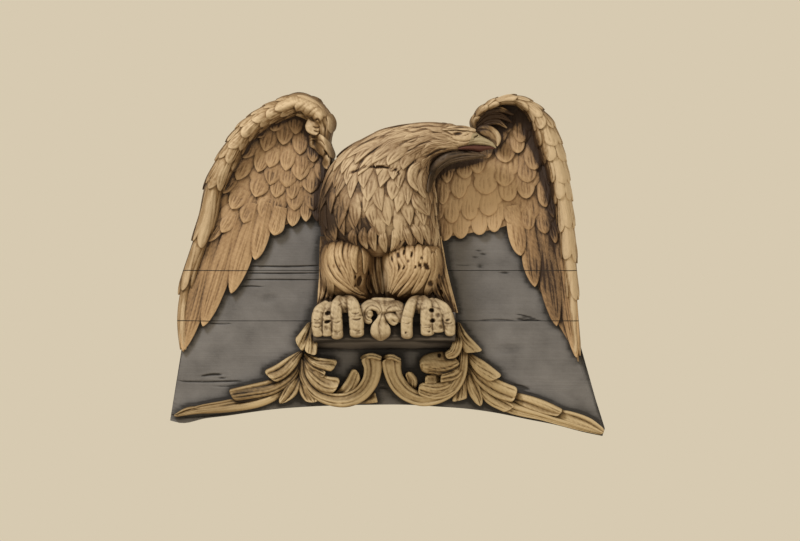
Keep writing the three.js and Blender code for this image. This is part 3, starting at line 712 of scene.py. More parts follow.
def feathers(
    host, tips, angle, length, half, rise=9, crown=4, sink=3, base=0, point=1.2, cuts=4, cut_depth=2.2,
    cut_span=(0.15, 0.5, 0.75, 0.95), cut_width=0.085, shaft=0, bow=0, curl=0, shoulder=0.6, bluff=2,
    size=(22, 21), seed=0,
):
    """Tongues on a host. Along a tongue u runs from root to tip. Its half-width follows a straight flank
    up to the shoulder and then (1 - t ** bluff) ** (point / 2), which is an arc at 2 and 1 and a lozenge's
    point below 2 and near 2. Across it v runs from -1 to 1. It sways in a bow or, with curl, in an S. The
    height over the host is base + rise * u, a little rounded at the tip, plus a crown that falls off to
    both edges, less the cuts."""
    rng = np.random.default_rng(seed)
    tips = np.asarray(tips, float)
    n = len(tips)
    angle, length, half, rise, crown, base, bow, curl = (
        np.broadcast_to(np.asarray(value, float), n)
        for value in (angle, length, half, rise, crown, base, bow, curl)
    )
    scale = stretch(host, tips)
    axis = np.stack([np.cos(angle), np.sin(angle)], -1) * length[:, None] / scale
    side = np.stack([-np.sin(angle), np.cos(angle)], -1) * half[:, None] / scale
    s = np.linspace(0, 1, size[0])[None, :, None]
    v = np.linspace(-1, 1, size[1])[None, None, :]
    end = np.sin(np.clip(2 * s - 1, 0, 1) * TIP_TURN) / np.sin(TIP_TURN + 0.01)
    u = np.where(s < 0.5, 2 * shoulder * s, shoulder + (1 - shoulder) * end)
    width = np.where(s < 0.5, 0.8 + 0.4 * s, (1 - end**bluff) ** (point / 2))
    wave = [each(rng.uniform(0, 2 * np.pi, n)) for _ in range(4)]
    width = width * (1 + 0.05 * np.sin(9 * u + wave[0]))
    width = np.maximum(width, 0.4 / each(half))
    sway = each(bow) * np.sin(np.pi * u) + each(curl) * np.sin(2 * np.pi * u)
    back, out = (u - 1)[..., None], (width * v + sway)[..., None]
    spot = tips[:, None, None] + axis[:, None, None] * back + side[:, None, None] * out
    height = each(base) + each(rise) * (u - 0.12 * np.clip(4 * u - 3, 0, 1) ** 2)
    height = height + each(crown) * (1 - np.abs(v) ** 2.4) * (0.35 + 0.65 * width)
    height = height + 0.5 * np.sin(7 * u + wave[1]) * np.cos(3 * v + wave[2])
    height = height + shaft * np.exp(-((v / 0.08) ** 2)) * (1 - u)
    groove = 0 * height
    for k in range(cuts):
        lane = 0.75 * ((2 * k + 1) / cuts - 1) + rng.uniform(-0.12, 0.12, n)
        start, stop = rng.uniform(*cut_span[:2], n), rng.uniform(*cut_span[2:], n)
        window = np.clip((u - each(start)) / 0.12, 0, 1) * np.clip((each(stop) - u) / 0.1, 0, 1)
        line = each(lane) * (0.45 + 0.55 * u)
        cut = np.exp(-(((v - line) / cut_width) ** 2)) * each(rng.uniform(0.6, 1, n))
        groove = np.maximum(groove, cut * window)
    height = height - cut_depth * groove
    ground, normal = lie(host, spot)
    face = ground + normal * height[..., None]
    behind = [-1, size[1] // 2, 0]
    rings = np.concatenate([face, (ground - normal * sink)[:, :, behind]], 2)
    over = np.broadcast_to(width * v, height.shape) * each(half)
    over = np.concatenate([over, over[:, :, behind]], 2)
    # painted shade and dirt in the gouges, along the edges where the next row meets a feather, and at the
    # root under the row above
    dirt_and_shade = 0.6 * groove + 0.6 * np.abs(v) ** 8 + 0.35 * smooth(1 - 2.5 * u)
    dirt_and_shade = np.concatenate([dirt_and_shade, 0.8 + 0 * dirt_and_shade[:, :, behind]], 2)
    return rings, over, u * each(length), each(rng.uniform(0, 1, n)), dirt_and_shade


# %% [markdown]
# ## The wings
# Each wing is a shallow hollow, filled with short feathers and fringed by long ones, inside a thick rolled
# front edge. The roll is a half-round along the silhouette. The places of the feather tips are the real
# ones, read off in millimetres.

# %% The wings in millimetres
def table(rows):
    """Columns of a table whose first column holds the stations: (stations, other columns)."""
    rows = np.asarray(rows, float)
    return rows[:, 0], rows[:, 1:].squeeze()


WINGS = {  # silhouette from the shoulder to the tip, hem of the vane, and the two edges of the short feathers
    "left": {
        "turn": 1,
        "rows": [250, 300, 345, 390, 437, 486, 540, 620, 778, 922, 1080],
        "half": table([[0, 12], [0.1, 24], [0.18, 28], [0.3, 26], [0.6, 26], [0.8, 18], [0.97, 9], [1, 4]]),
        "edge": [[-146, 215], [-157, 270], [-150, 325], [-187, 377], [-245, 401], [-315, 381], [-405, 322],
                 [-468, 232], [-506, 148], [-520, 69], [-547, -28], [-574, -132], [-580, -212], [-569, -308]],
        "hem": [[-140, 78], [-260, 74], [-335, 44], [-395, 4], [-448, -116], [-512, -205], [-556, -285]],
        "brow": [[-150, 196], [-228, 275], [-275, 319], [-346, 319], [-399, 275], [-445, 198], [-492, 115]],
        "skirt": [[-150, 68], [-236, 68], [-286, 42], [-346, 52], [-401, 46], [-456, 24], [-515, 8]],
    },
    "right": {
        "turn": -1,
        "rows": [40, 80, 122, 168, 216, 264, 310, 360, 413, 468, 524, 598, 690, 790, 955],
        "half": table([[0, 5], [0.1, 10], [0.18, 11], [0.25, 20], [0.34, 32], [0.48, 26], [0.8, 16],
                       [0.97, 7], [1, 3]]),
        "edge": [[236, 303], [232, 328], [244, 352], [270, 374], [308, 392], [345, 397], [403, 377],
                 [445, 338], [472, 282], [492, 204], [505, 120], [513, 40], [520, -83], [525, -220],
                 [528, -335]],
        "hem": [[100, 26], [200, 24], [285, 36], [345, 36], [378, -50], [430, -160], [510, -300]],
        "brow": [[108, 184], [184, 222], [247, 262], [300, 290], [349, 308], [396, 261], [434, 165]],
        "skirt": [[108, 13], [187, 13], [239, 22], [294, 30], [341, 42], [390, 30], [446, 24]],
    },
}
print("silhouettes:", {name: round(reach_along(wing["edge"])[-1]) for name, wing in WINGS.items()}, "mm long")

# %% The rolled edges
ROLL_DEPTH = table([[0, 96], [0.1, 126], [0.25, 134], [0.45, 122], [0.65, 90], [0.8, 72], [1, 58]])
ROLL_STEEP = 0.6
BACK = 0.5  # mm: the rolls stop this far in front of the wall, which the boards alone reach
TUFTS_ON = 92  # mm: depth that the tufts beside the roll start from

# the usual section of a roll, 32 mm to either side and 128 mm deep, gives the way over it by length
round_share = np.linspace(0, 1, 400)
profile = np.stack([-32 * np.cos(np.pi * round_share), 128 * np.sin(np.pi * round_share) ** ROLL_STEEP], -1)
girth = reach_along(profile)


def roll_surface(wing):
    """The rolled edge: u is the share along the silhouette and v the share over the roll by length. Its
    section is (half * (1 - cos a), depth * sin(a) ** 0.6) for a half turn of a."""

    def at(spot):
        u, v = spot[..., 0], spot[..., 1]
        a = np.pi * np.interp(np.clip(v, 0, 1), girth / girth[-1], round_share)
        p, way = walk(wing["edge"], u)
        inward = wing["turn"] * spline(u, *wing["half"]) * (1 - np.cos(a))
        depth = spline(u, *ROLL_DEPTH) * np.sin(a) ** ROLL_STEEP
        return place(p[..., 0] - way[..., 1] * inward, depth, p[..., 1] + way[..., 0] * inward)

    return host(at, 0.002, (0.004, 0.004), (0.996, 0.996), (0.5, 0.5))


def grid(first, last):
    """All pairs of two lists of parameters, as (rings, points, 2)."""
    return np.stack(np.meshgrid(first, last, indexing="ij"), -1)


def roll(wing, seed, lap=38):
    """The smooth roll and the feathers on it, in staggered rows. The tips of a row are so many mm along the
    silhouette, and its feathers reach back a lap further than the row before. The longest rows have the
    fewest feathers. The tufts of the wrist come last. Nothing is let through the flat back."""
    form = roll_surface(wing)
    core = form["at"](grid(np.linspace(0, 1, 140), np.linspace(0.01, 0.99, 40)))
    core[..., 1] = np.minimum(core[..., 1], -BACK)
    length = reach_along(wing["edge"])[-1]
    rng = np.random.default_rng(seed)
    rows = []
    for number, (stop, gap) in enumerate(zip(wing["rows"], np.diff(wing["rows"], prepend=0))):
        count = 8 if gap < 90 else 6
        v = (np.arange(count) + 0.25 + 0.5 * (number % 2)) / count
        values = stop / length, v, min(gap, 170) + lap, 0.56 / count
        rows.append(np.stack(np.broadcast_arrays(*values), -1))
    tips, reach, share = np.split(np.concatenate(rows), (2, 3), axis=1)
    tips = np.clip(tips + rng.uniform(-1, 1, tips.shape) * [10 / length, 0.015], 0.005, 0.995)
    angle = rng.uniform(-0.12, 0.12, len(tips)) * wing["turn"]
    scales = feathers(
        form, tips, angle, reach[:, 0], stretch(form, tips)[:, 1] * share[:, 0], rise=9, crown=2.5, base=-3,
        point=1.05, shoulder=0.68, cuts=3, cut_depth=2.4, cut_width=0.15, cut_span=(0.02, 0.4, 0.75, 0.97),
        bow=rng.uniform(-0.2, 0.2, len(tips)), size=(20, 15), seed=seed,
    )
    core = (core[None], 0, 0, 0.4, 0.4)
    over = {"roll": relief([core]), "hollow": lambda x, z: TUFTS_ON + 0 * x}
    sinks = {"roll": 4, "hollow": 38}
    tufts = [
        strip(
            over[base], spine, halves, height, crown=3.5, hollow=3.5, flutes=flutes, cap=1.7, point=1.2,
            root=0.6, sink=sinks[base], seed=k,
        )
        for k, (base, spine, halves, height, flutes) in enumerate(wing["wrist"])
    ]
    for rings, *_ in (scales, *tufts):
        rings[..., 1] = np.minimum(rings[..., 1], -BACK / 2)
    return [core, scales, *tufts]


# %% The bend of the wings
# tufts, arm and knuckles: what each lies on, its spine, half-widths, height and number of flutes
WINGS["left"]["wrist"] = [
    ["roll", [[-190, 376], [-242, 388], [-310, 356]], [10, 21, 16], 10, 2],
    ["roll", [[-178, 374], [-214, 380], [-256, 354]], [10, 19, 14], 12, 2],
    ["roll", [[-168, 360], [-198, 364], [-232, 335]], [10, 18, 13], 14, 2],
    ["roll", [[-160, 346], [-180, 348], [-206, 320]], [9, 15, 11], 16, 1],
    ["roll", [[-164, 350], [-154, 326], [-158, 294]], [8, 12, 10], 18, 1],
    ["hollow", [[-218, 334], [-205, 309], [-194, 288]], [14, 21, 17], 26, 1],
    ["roll", [[-240, 262], [-208, 268], [-186, 250], [-180, 232]], [6, 12, 13, 12], 15, 1],
    ["roll", [[-230, 272], [-204, 285], [-170, 262], [-148, 224]], [5, 10, 12, 8], 26, 2],
    ["roll", [[-160, 236], [-170, 210], [-158, 193]], [8, 11, 6], 22, 1],
]
WINGS["right"]["wrist"] = [
    ["hollow", [[238, 317], [262, 349], [304, 360], [346, 344]], [5, 10, 9, 2], 8, 3],
    ["hollow", [[240, 312], [274, 340], [308, 342], [340, 324]], [5, 10, 9, 2], 4, 3],
    ["hollow", [[242, 308], [274, 325], [302, 325], [328, 308]], [5, 10, 9, 2], 0, 3],
    ["hollow", [[243, 303], [270, 301], [292, 284], [301, 258]], [8, 16, 18, 14], 8, 2],
]
WRIST_CUTS = [  # jagged ends of the wrist feathers, and short lines on the knuckles
    [[[-258, 366], [-252, 352], [-238, 352], [-229, 338], [-215, 342]], 2.2, 6],
    [[[-212, 342], [-204, 328], [-192, 331], [-184, 320], [-176, 330]], 2.2, 6],
    [[[-206, 311], [-195, 308], [-184, 311]], 1.8, 4], [[[-203, 300], [-193, 297], [-182, 301]], 1.8, 4],
    [[[-171, 334], [-175, 316], [-170, 298]], 2.4, 7], [[[-196, 288], [-184, 292], [-174, 287]], 1.8, 4],
    [[[-200, 276], [-184, 272], [-172, 258]], 1.6, 4], [[[-176, 246], [-166, 238], [-162, 226]], 1.8, 5],
]
for seed, (name, wing) in enumerate(WINGS.items()):
    edge = carve(roll(wing, 11 + seed), WRIST_CUTS, rough=0.7)
    add_piece(f"{name}_wing_edge", edge, wing_edge_paint)

# %% [markdown]
# ## The hollow of each wing
# Inside the roll the wing is nearly flat. Rows of short feathers overlap like tiles, and below them the long
# ones reach down to the tip. They lie on a thin plate, so that no gap opens between two of them. In a tiled
# pattern all feathers would be alike, so the tips stand where they are in the picture.

# %% Places of the feathers
COVERTS = {  # x and z of each tip, and the half-width
    "left": [
        [-194, 51, 18], [-226, 51, 19], [-264, 38, 22],
        [-206, 81, 26], [-259, 81, 27], [-310, 70, 26], [-350, 63, 23], [-399, 47, 25], [-459, 21, 21],
        [-496, -4, 19], [-213, 130, 27], [-266, 112, 23], [-310, 117, 23], [-366, 119, 27],
        [-431, 86, 26], [-456, 129, 20], [-183, 160, 20], [-242, 165, 26], [-280, 145, 28],
        [-325, 152, 25], [-417, 166, 22], [-238, 182, 20], [-282, 191, 22], [-327, 200, 24],
        [-359, 188, 22], [-431, 189, 20], [-243, 236, 24], [-290, 263, 26], [-340, 245, 24],
        [-399, 226, 24], [-206, 215, 22], [-316, 300, 26], [-360, 282, 22], [-255, 292, 24],
    ],
    "right": [
        [110, -1, 22], [156, -2, 23], [200, 4, 22], [252, 14, 24], [293, 22, 21],
        [137, 55, 18], [175, 47, 22], [225, 56, 24], [277, 67, 26], [344, 41, 25], [388, 28, 22],
        [434, 18, 20], [150, 99, 19], [195, 115, 22], [269, 126, 31], [331, 107, 26], [382, 115, 25],
        [435, 91, 17], [162, 158, 18], [211, 170, 24], [246, 184, 23], [322, 148, 27], [386, 159, 26],
        [323, 214, 29], [404, 194, 25], [302, 263, 27], [366, 269, 22], [270, 225, 22], [358, 240, 22],
        [448, 152, 14], [457, 62, 13], [462, -8, 12],
    ],
}
QUILLS = {  # root, tip and half-width, the outermost first
    "left": [
        [-496, 40, -560, -190, 21], [-474, 44, -567, -306, 27], [-412, 74, -511, -238, 30],
        [-362, 100, -433, -147, 27], [-330, 104, -367, -54, 24], [-296, 92, -314, 13, 23],
    ],
    "right": [
        [474, 50, 508, -200, 21], [462, 55, 520, -324, 23], [421, 68, 465, -237, 28],
        [382, 68, 405, -129, 25], [343, 96, 366, -43, 25],
    ],
}

print("short feathers:", {name: len(spots) for name, spots in COVERTS.items()})

# %% The plates
VANE = 56  # mm: depth of the thin vane between the roll and the hem
VANE_BACK, FIELD_BACK = 2, 20  # mm: backs of the two plates, set apart so that no two backs share a plane


def slab(across, depth, behind):
    """Flat plate of rings: forwards over its front at one depth, and back behind it at the other."""
    front, back = (place(across[..., 0], level, across[..., 1]) for level in (depth, behind))
    return np.concatenate([front, back[:, ::-1]], 1)[None], 0, 0, 0.5, 0.3


def hollow(wing):
    """The thin vane: rings that run from the middle of the roll to the hem and back behind it."""
    u = np.linspace(0, 1, 60)[:, None]
    v = np.linspace(0, 1, 12)[None, :, None]
    start = roll_surface(wing)["at"](grid(0.04 + 0.93 * u[:, 0], [0.5]))
    end = walk(wing["hem"], u[:, 0])[0][:, None]
    return slab(start[..., [0, 2]] * (1 - v) + end * v, VANE, VANE_BACK)


def field(wing):
    """The plate behind the short feathers, between the brow under the roll and the skirt."""
    u, v = np.linspace(0, 1, 40), np.linspace(0, 1, 12)[None, :, None]
    brow, skirt = (walk(wing[line], u)[0][:, None] for line in ("brow", "skirt"))
    return slab(brow * (1 - v) + skirt * v, VANE + 0.6, FIELD_BACK)


print("thickness of the plates:", VANE - VANE_BACK, "and", VANE - FIELD_BACK, "mm")


# %% Short and long feathers
def slant(name, x):
    """How far a short feather leans out from hanging straight down, in radians."""
    if name == "left":
        return -np.pi / 2 - np.clip((-x - 230) / 220, 0, 1) * 0.55
    return -np.pi / 2 + np.clip((x - 330) / 120, 0, 1) * 0.2


for seed, (name, wing) in enumerate(WINGS.items()):
    spots = np.array(COVERTS[name], float)
    rim = np.array(sorted(point for point in wing["edge"] if point[1] > 60))
    room = np.interp(spots[:, 0], rim[:, 0], rim[:, 1]) - spots[:, 1]
    coverts = feathers(
        field_host, spots[:, :2], slant(name, spots[:, 0]), np.clip(room - 25, 45, 92), spots[:, 2],
        rise=14, crown=3.5, base=-4,
        point=1.4 if name == "left" else 1.05, shoulder=0.55 if name == "left" else 0.62, cuts=4,
        cut_depth=2.2, cut_width=0.1, cut_span=(0.3, 0.6, 0.82, 0.97), size=(24, 21), seed=21 + seed,
    )
    between = feathers(
        field_host, spots[:, :2] + [8, 26], slant(name, spots[:, 0]), np.clip(room - 55, 30, 80),
        1.3 * spots[:, 2], rise=8, crown=3, base=-3, point=1.2, cuts=3, cut_depth=2, size=(16, 15),
        seed=41 + seed,
    )
    quill = np.array(QUILLS[name], float)
    way = quill[:, 2:4] - quill[:, :2]
    order = np.arange(len(quill))
    quills = feathers(
        field_host, quill[:, 2:4], np.arctan2(way[:, 1], way[:, 0]), np.linalg.norm(way, axis=1), quill[:, 4],
        rise=6, crown=4, base=-3 + 2 * order, sink=10, point=1.35, cuts=4, cut_depth=1.8, shaft=1.5,
        cut_span=(0.2, 0.6, 0.75, 0.97), cut_width=0.08, size=(70, 25), seed=31 + seed,
    )
    stacks = carve([hollow(wing), field(wing), coverts, between, quills], rough=0.6)
    add_piece(f"{name}_wing_feathers", stacks, wing_paint)

# %% [markdown]
# ## The bird's breast, neck and head
# From the feet to the beak the body is one bent form: it rises, leans over to the right and narrows to the
# head. So its rings are carried along that bend. Each ring is given by its outer end on the left or top of
# the silhouette, its inner end on the right or underside, and three depths. The feathers then follow the
# bend by themselves, as the carver's do: they run from the head back over the nape and down the breast.

# %% The bent form
BODY = [  # outer x, z; inner x, z; depth of the sides, of the crest and of the back
    [-96, -46, 96, -46, 110, 160, 46.4],
    [-150, -30, 128, -34, 112, 196, 46.4],
    [-170, 0, 136, -4, 115, 222, 46.4],
    [-181, 45, 131, 40, 118, 243, 46.4],
    [-182, 95, 127, 84, 118, 252, 46.4],
    [-175, 145, 125, 125, 120, 250, 52],
    [-155, 196, 123, 158, 122, 243, 70],
    [-118, 241, 122, 184, 130, 236, 90],
    [-68, 274, 126, 204, 142, 230, 104],
    [-12, 300, 134, 220, 156, 228, 116],
    [40, 311, 148, 230, 168, 226, 126],
    [90, 316, 166, 236, 176, 224, 132],
    [136, 317, 180, 240, 178, 220, 137],
    [166, 312, 192, 243, 178, 212, 143],
    [182, 296, 198, 246, 178, 200, 155],
]
body_rows = np.array(BODY, float)
body_middle = (body_rows[:, :2] + body_rows[:, 2:4]) / 2
body_reach = reach_along(body_middle)
BODY_LENGTH = body_reach[-1]


def body_at(spot):
    """Body: a is the share along the bend, v the half turns round it. x and z go from the outer to the
    inner end as -cos, the front bulges by sin ** 0.85 and the back, from v = 1 to 2, by a blunter power,
    which rises to 0.9 along the neck."""
    a, v = spot[..., 0], spot[..., 1]
    row = spline(a * BODY_LENGTH, body_reach, body_rows)
    swing, lift = -np.cos(np.pi * v), np.sin(np.pi * v)
    x, z = ((row[..., k] + row[..., k + 2]) / 2 + (row[..., k + 2] - row[..., k]) / 2 * swing for k in (0, 1))
    side, crest, back = row[..., 4], row[..., 5], row[..., 6]
    blunt = 0.35 + 0.55 * smooth((a - 0.45) / 0.3)
    front = side + (crest - side) * np.abs(lift) ** 0.85
    rear = side - (side - back) * np.abs(lift) ** blunt
    return place(x, np.where(lift >= 0, front, rear), z)


body_host = host(body_at, 0.002, (0.004, -1), (0.996, 3), (0.5, 0.5))
core = (body_at(grid(np.linspace(0, 1, 130), np.linspace(0, 2, 96, endpoint=False)))[None], 0, 0, 0.4, 0.6)
over_body = relief([core])
print("the bend is", round(BODY_LENGTH), "mm long")


# %% Breast
def rows_on_body(shares, turns, columns, jitter, seed):
    """Staggered places on the body: rows at shares along the bend, columns at even steps between two half
    turns round it, and each place shifted at random."""
    rng = np.random.default_rng(seed)
    spots = []
    for row, a in enumerate(shares):
        across = np.arange(turns[0] + 0.5 * (row % 2) / columns, turns[1], 1 / columns)
        spots.append(np.stack([a + 0 * across, across], -1))
    spots = np.concatenate(spots)
    spots += rng.uniform(-jitter, jitter, spots.shape)
    return spots, stretch(body_host, spots), rng


FRONT, ALL_ROUND = (-0.06, 1.07), (0, 2)  # half turns round the body
spots, scale, rng = rows_on_body(np.arange(0.05, 0.56, 0.068), FRONT, 9.6, 0.018, seed=5)
towards_middle = (spots[:, 1] - 0.5) * 1.5 * (1 - smooth(spots[:, 0] / 0.3))
breast = feathers(
    body_host, spots, np.pi + towards_middle + rng.uniform(-0.25, 0.25, len(spots)),
    np.clip(scale[:, 0] * 0.19, 50, 120), rng.uniform(17, 26, len(spots)),
    rise=rng.uniform(8, 13, len(spots)), crown=3, base=-2, point=1.8, bluff=1.5, shoulder=0.45, cuts=2,
    cut_depth=2.4, cut_width=0.13,
    cut_span=(0.3, 0.6, 0.8, 0.97), bow=rng.uniform(-0.3, 0.3, len(spots)), size=(20, 15), seed=6,
)
FLAPS = [  # pointed feathers of the throat and of the lower breast: spine and half-widths
    [[[88, 210], [70, 188], [68, 160], [84, 132]], [8, 15, 14, 4]],
    [[[104, 196], [92, 168], [92, 140], [104, 112]], [8, 14, 13, 4]],
    [[[70, 126], [82, 98], [112, 66]], [9, 15, 4]],
    [[[100, 190], [112, 150], [124, 108]], [8, 12, 4]],
    [[[63, 44], [80, 20], [94, -14]], [8, 14, 3]],
    [[[88, 50], [104, 22], [114, -16]], [8, 13, 3]],
    [[[42, 38], [56, 8], [64, -26]], [8, 12, 3]],
    [[[18, 30], [22, 0], [8, -34]], [8, 13, 3]],
    [[[-12, 26], [-14, -2], [-6, -36]], [8, 13, 3]],
    [[[-38, 36], [-44, 6], [-34, -32]], [8, 14, 3]],
    [[[-64, 34], [-68, 6], [-56, -26]], [8, 14, 3]],
    [[[-92, 30], [-96, 4], [-86, -20]], [8, 14, 3]],
]
flaps = [
    strip(over_body, *flap, 11, crown=5, hollow=3, flutes=3, cap=2, point=1.6, seed=seed)
    for seed, flap in enumerate(FLAPS)
]
CRACKS = [  # the zigzag crack across the breast, widest in its middle
    [[[-118, 179], [-94, 184], [-78, 190], [-68, 197], [-36, 198]], 2.8, 7],
    [[[-38, 198], [-24, 198], [-8, 197]], 3.4, 12],
    [[[-10, 197], [2, 195], [12, 189], [19, 191], [32, 178]], 2.8, 7],
]
breast = carve([core, breast, *flaps], CRACKS)
add_piece("breast", breast, body_paint, ["eagle_block"])

# %% Neck
spots, scale, rng = rows_on_body(np.arange(0.5, 0.95, 0.085), ALL_ROUND, 9, 0.025, seed=7)
keep = (scale[:, 0] > 240) | (rng.uniform(0, 1, len(spots)) > 0.5)  # half as many where the bend is tight
x, depth, z = body_at(spots).T
keep &= (x < 112) | (z > 240)  # and none under the beak
spots, scale = spots[keep], scale[keep]
length = np.clip(scale[:, 0] * 0.32, 60, 170)
neck = feathers(
    body_host, spots, np.pi + rng.uniform(-0.12, 0.12, len(spots)), length,
    np.clip(scale[:, 1] * 0.7 / 9, 8, 20), rise=5, crown=2.5, base=-1, sink=3, point=1.7, bluff=1.6,
    shoulder=0.5, cuts=2, cut_depth=1.4, cut_width=0.12, cut_span=(0.1, 0.3, 0.8, 0.97),
    bow=rng.uniform(-0.5, 0.5, len(spots)), curl=rng.uniform(-0.8, 0.8, len(spots)), size=(28, 13), seed=8,
)
NECK_CUTS = [  # the long wavy lines between the locks, and the fold behind the mouth
    [[[45, 300], [69, 293], [92, 300], [105, 302], [119, 294], [139, 292]], 2.2, 4],
    [[[32, 279], [42, 271], [52, 267], [67, 266], [77, 272]], 2.2, 4],
    [[[160, 249], [138, 244], [105, 227], [78, 216], [55, 202], [45, 187]], 2.8, 6],
    [[[120, 268], [92, 262], [66, 246], [46, 238]], 2.0, 3.5],
    [[[100, 282], [74, 276], [40, 262], [20, 240]], 2.0, 3.5],
    [[[20, 296], [-6, 288], [-20, 272], [-48, 262]], 2.0, 3.5],
    [[[128, 310], [104, 312], [80, 306], [56, 308]], 2.0, 3.5],
    [[[-30, 282], [-56, 268], [-80, 246], [-92, 222]], 2.0, 3.5],
]
add_piece("neck_locks", carve([neck], NECK_CUTS), body_paint)


# %% [markdown]
# ## Head and beak
# The head has a heavy brow over a small slanting eye, a long beak that hooks down, and an open mouth, whose
# red paint is darkened inside as painted shade. Its outline from the front is what one knows it by, so the
# head
# is given as a list: for steps along x, the height of its top, that of its underside, and how thick it is.
# The horn of the beak, the lower beak and the mouth are further forms of the same kind, each with its own
# paint;
# the lower beak and the strip down the throat are painted dark as painted shade.


# %% Forms along x
HEAD_DEPTH = 178  # mm: depth of the middle of the head


def full_turn(points):
    """Even angles of one full turn, as (rings, points)."""
    return np.linspace(0, 2 * np.pi, points, endpoint=False)[None, :]


def along_x(stations, blunt_top, blunt_low, start=0, lean=0, rings=60, points=40):
    """A form along x from a table of x, top z, bottom z and half-depth: each ring is a rounded section
    round the depth of the head, whose upper and lower half have their own bluntness. The first ring may
    lie further along and lean by so many mm at its top and bottom."""
    at, rest = table(stations)
    start = max(start, at[0])
    share = np.linspace(0, 1, rings)[:, None] ** 0.8
    a = full_turn(points)
    up = np.sin(a)
    x = start + share * (at[-1] - start) + lean * up * (1 - share)
    top, low, half = np.moveaxis(spline(x, at, rest), -1, 0)
    z = (top + low) / 2 + (top - low) / 2 * np.sign(up) * np.abs(up) ** np.where(up > 0, blunt_top, blunt_low)
    depth = HEAD_DEPTH + half * np.cos(a)
    return place(x, depth, z)[None], (z - 280)[None], x[None], 0.5, 0


FACE = [  # x, top, underside and half the thickness
    [112, 290, 236, 26], [130, 308, 238, 38], [150, 316, 242, 46], [172, 318, 246, 45], [192, 311, 248, 42],
    [215, 309, 253, 36], [229, 306, 257, 30], [240, 296, 257.5, 25], [252, 285, 258, 21],
    [265, 278, 258, 16], [280, 270, 256, 11], [290, 262, 252.5, 6], [295.5, 253, 250, 1.5],
]
JAW = [
    [114, 206, 176, 14], [130, 223, 188, 26], [150, 237, 200, 34], [182, 246, 213, 33], [204, 245, 218, 28],
    [226, 240, 222, 20], [250, 235, 225, 12], [268, 231, 227, 3],
]
MOUTH = [
    [192, 254, 243, 30], [205, 258, 243, 32], [232, 262, 241, 24], [252, 262, 239, 17], [262, 260, 243, 13],
    [280, 258, 247, 8], [294, 252, 249, 1.5],
]
HORN_FROM, HORN_LEAN = 228, 17  # x where the horn begins, and how far its first ring leans to either side
HORN = [[x, top + 0.7, low - 0.7, half + 0.6] for x, top, low, half in FACE if x > 180]  # just over the face
print("the horn of the beak is", FACE[-1][0] - HORN_FROM, "mm long")

# %% Face and horn
FACE_CUTS = [  # brow, lids, lines behind the eye, nostril and the horn of the beak
    [[[140, 308], [165, 302], [195, 306], [230, 305]], 2.4, 4],
    [[[168, 297], [184, 299], [204, 296], [226, 299]], 2.0, 3],
    [[[135, 297], [158, 294], [176, 285], [200, 281], [222, 288]], 2.2, 4],
    [[[118, 288], [142, 286], [165, 281], [181, 272], [206, 268], [232, 272]], 2.4, 4],
    [[[120, 274], [145, 275], [168, 266], [192, 262]], 2.2, 3],
    [[[118, 262], [140, 262], [164, 255], [186, 254]], 2.2, 3],
    [[[118, 304], [132, 299], [150, 301], [166, 310]], 2.0, 3],
    [[[235, 279], [240, 281], [246, 285]], 2.4, 6],
    [[[206, 258], [232, 267], [258, 267], [282, 262]], 1.8, 2],
    [[[232, 272], [242, 276], [254, 281]], 1.6, 2],
]
EYE = [[190, 288, 13, 5, 0.1, 6]]
BROW = [[146, 300], [176, 305], [210, 304], [240, 298]]
# a little greener and glossier than the feathers, as horn is
horn_paint = carved_finish("olive_horn_paint", "#33291C", "#7C6B50", "#AC9E80", roughness=0.5)
face = along_x(FACE, 0.75, 0.6, rings=150, points=120)
brow = strip(relief([face]), BROW, [3, 6, 7, 4], 4, crown=3, hollow=1, flutes=1, root=1, sink=6)
face = carve([face, brow], FACE_CUTS, EYE)
add_piece("face_and_upper_beak", face, body_paint)
horn = along_x(HORN, 0.75, 0.6, start=HORN_FROM, lean=HORN_LEAN, rings=70, points=100)
add_piece("horn_of_beak", carve([horn], FACE_CUTS, rough=0.2), horn_paint)

# %% Lower beak and mouth
# red paint darkened as painted shade, so that the open mouth looks hollow
mouth_shade_paint = carved_finish("red_paint_with_painted_shade", "#1A0F0B", "#402820", "#5A362B")
# the underside of the jaw lies in shade, so its paint is a dark umber as painted shade, with a slight gloss
jaw_shade_paint = carved_finish("umber_paint_as_painted_shade", "#150F0A", "#33271C", "#574634", roughness=0.5)
# the dark strip down the throat stands where the flank of the breast is in shade: its dark paint is painted
# shade
THROAT_SHADE_STRIP = [[264, 230], [228, 229], [190, 226], [160, 216], [140, 201], [126, 180], [116, 156], [110, 128]]
JAW_CUTS = [  # long lines under the jaw, that run on into the throat
    [[[258, 231], [215, 238], [172, 232], [140, 212]], 1.8, 2.5],
    [[[246, 228], [205, 228], [166, 218], [136, 196]], 1.8, 3],
    [[[226, 224], [190, 219], [158, 206], [130, 180]], 1.6, 2.5],
]


def under_jaw(x, z):
    """Depth of the jaw above and of the breast below, with an even change from one to the other over 45 mm
    of height."""
    share = smooth((z - 170) / 45)
    return share * 186 + (1 - share) * (over_body(x, z) + 8)


throat = strip(
    under_jaw, THROAT_SHADE_STRIP, [3, 9, 13, 14, 13, 11, 8, 4], 14, crown=7, hollow=2, flutes=2, root=1, sink=34,
    size=(90, 25),
)
jaw = carve([along_x(JAW, 0.6, 0.9), throat], JAW_CUTS)
add_piece("lower_beak", jaw, jaw_shade_paint)
add_piece("mouth", [along_x(MOUTH, 1, 1)], mouth_shade_paint)


# %% [markdown]
# ## Legs and feet
# Each thigh is a short cuff of long feathers that are drawn together towards the foot. The cuff is a plain
# bulging form first. Each strand is then a strip laid on it, along the line that it takes in the picture.
# Wormholes and a few bigger losses pit the right thigh and the toes: there the surface is pushed in steeply
# within a small ellipse.


# %% Thighs and trunk
FOOTING = GROUND + 0.4  # mm: backs of what stands on the boards, just clear of their face


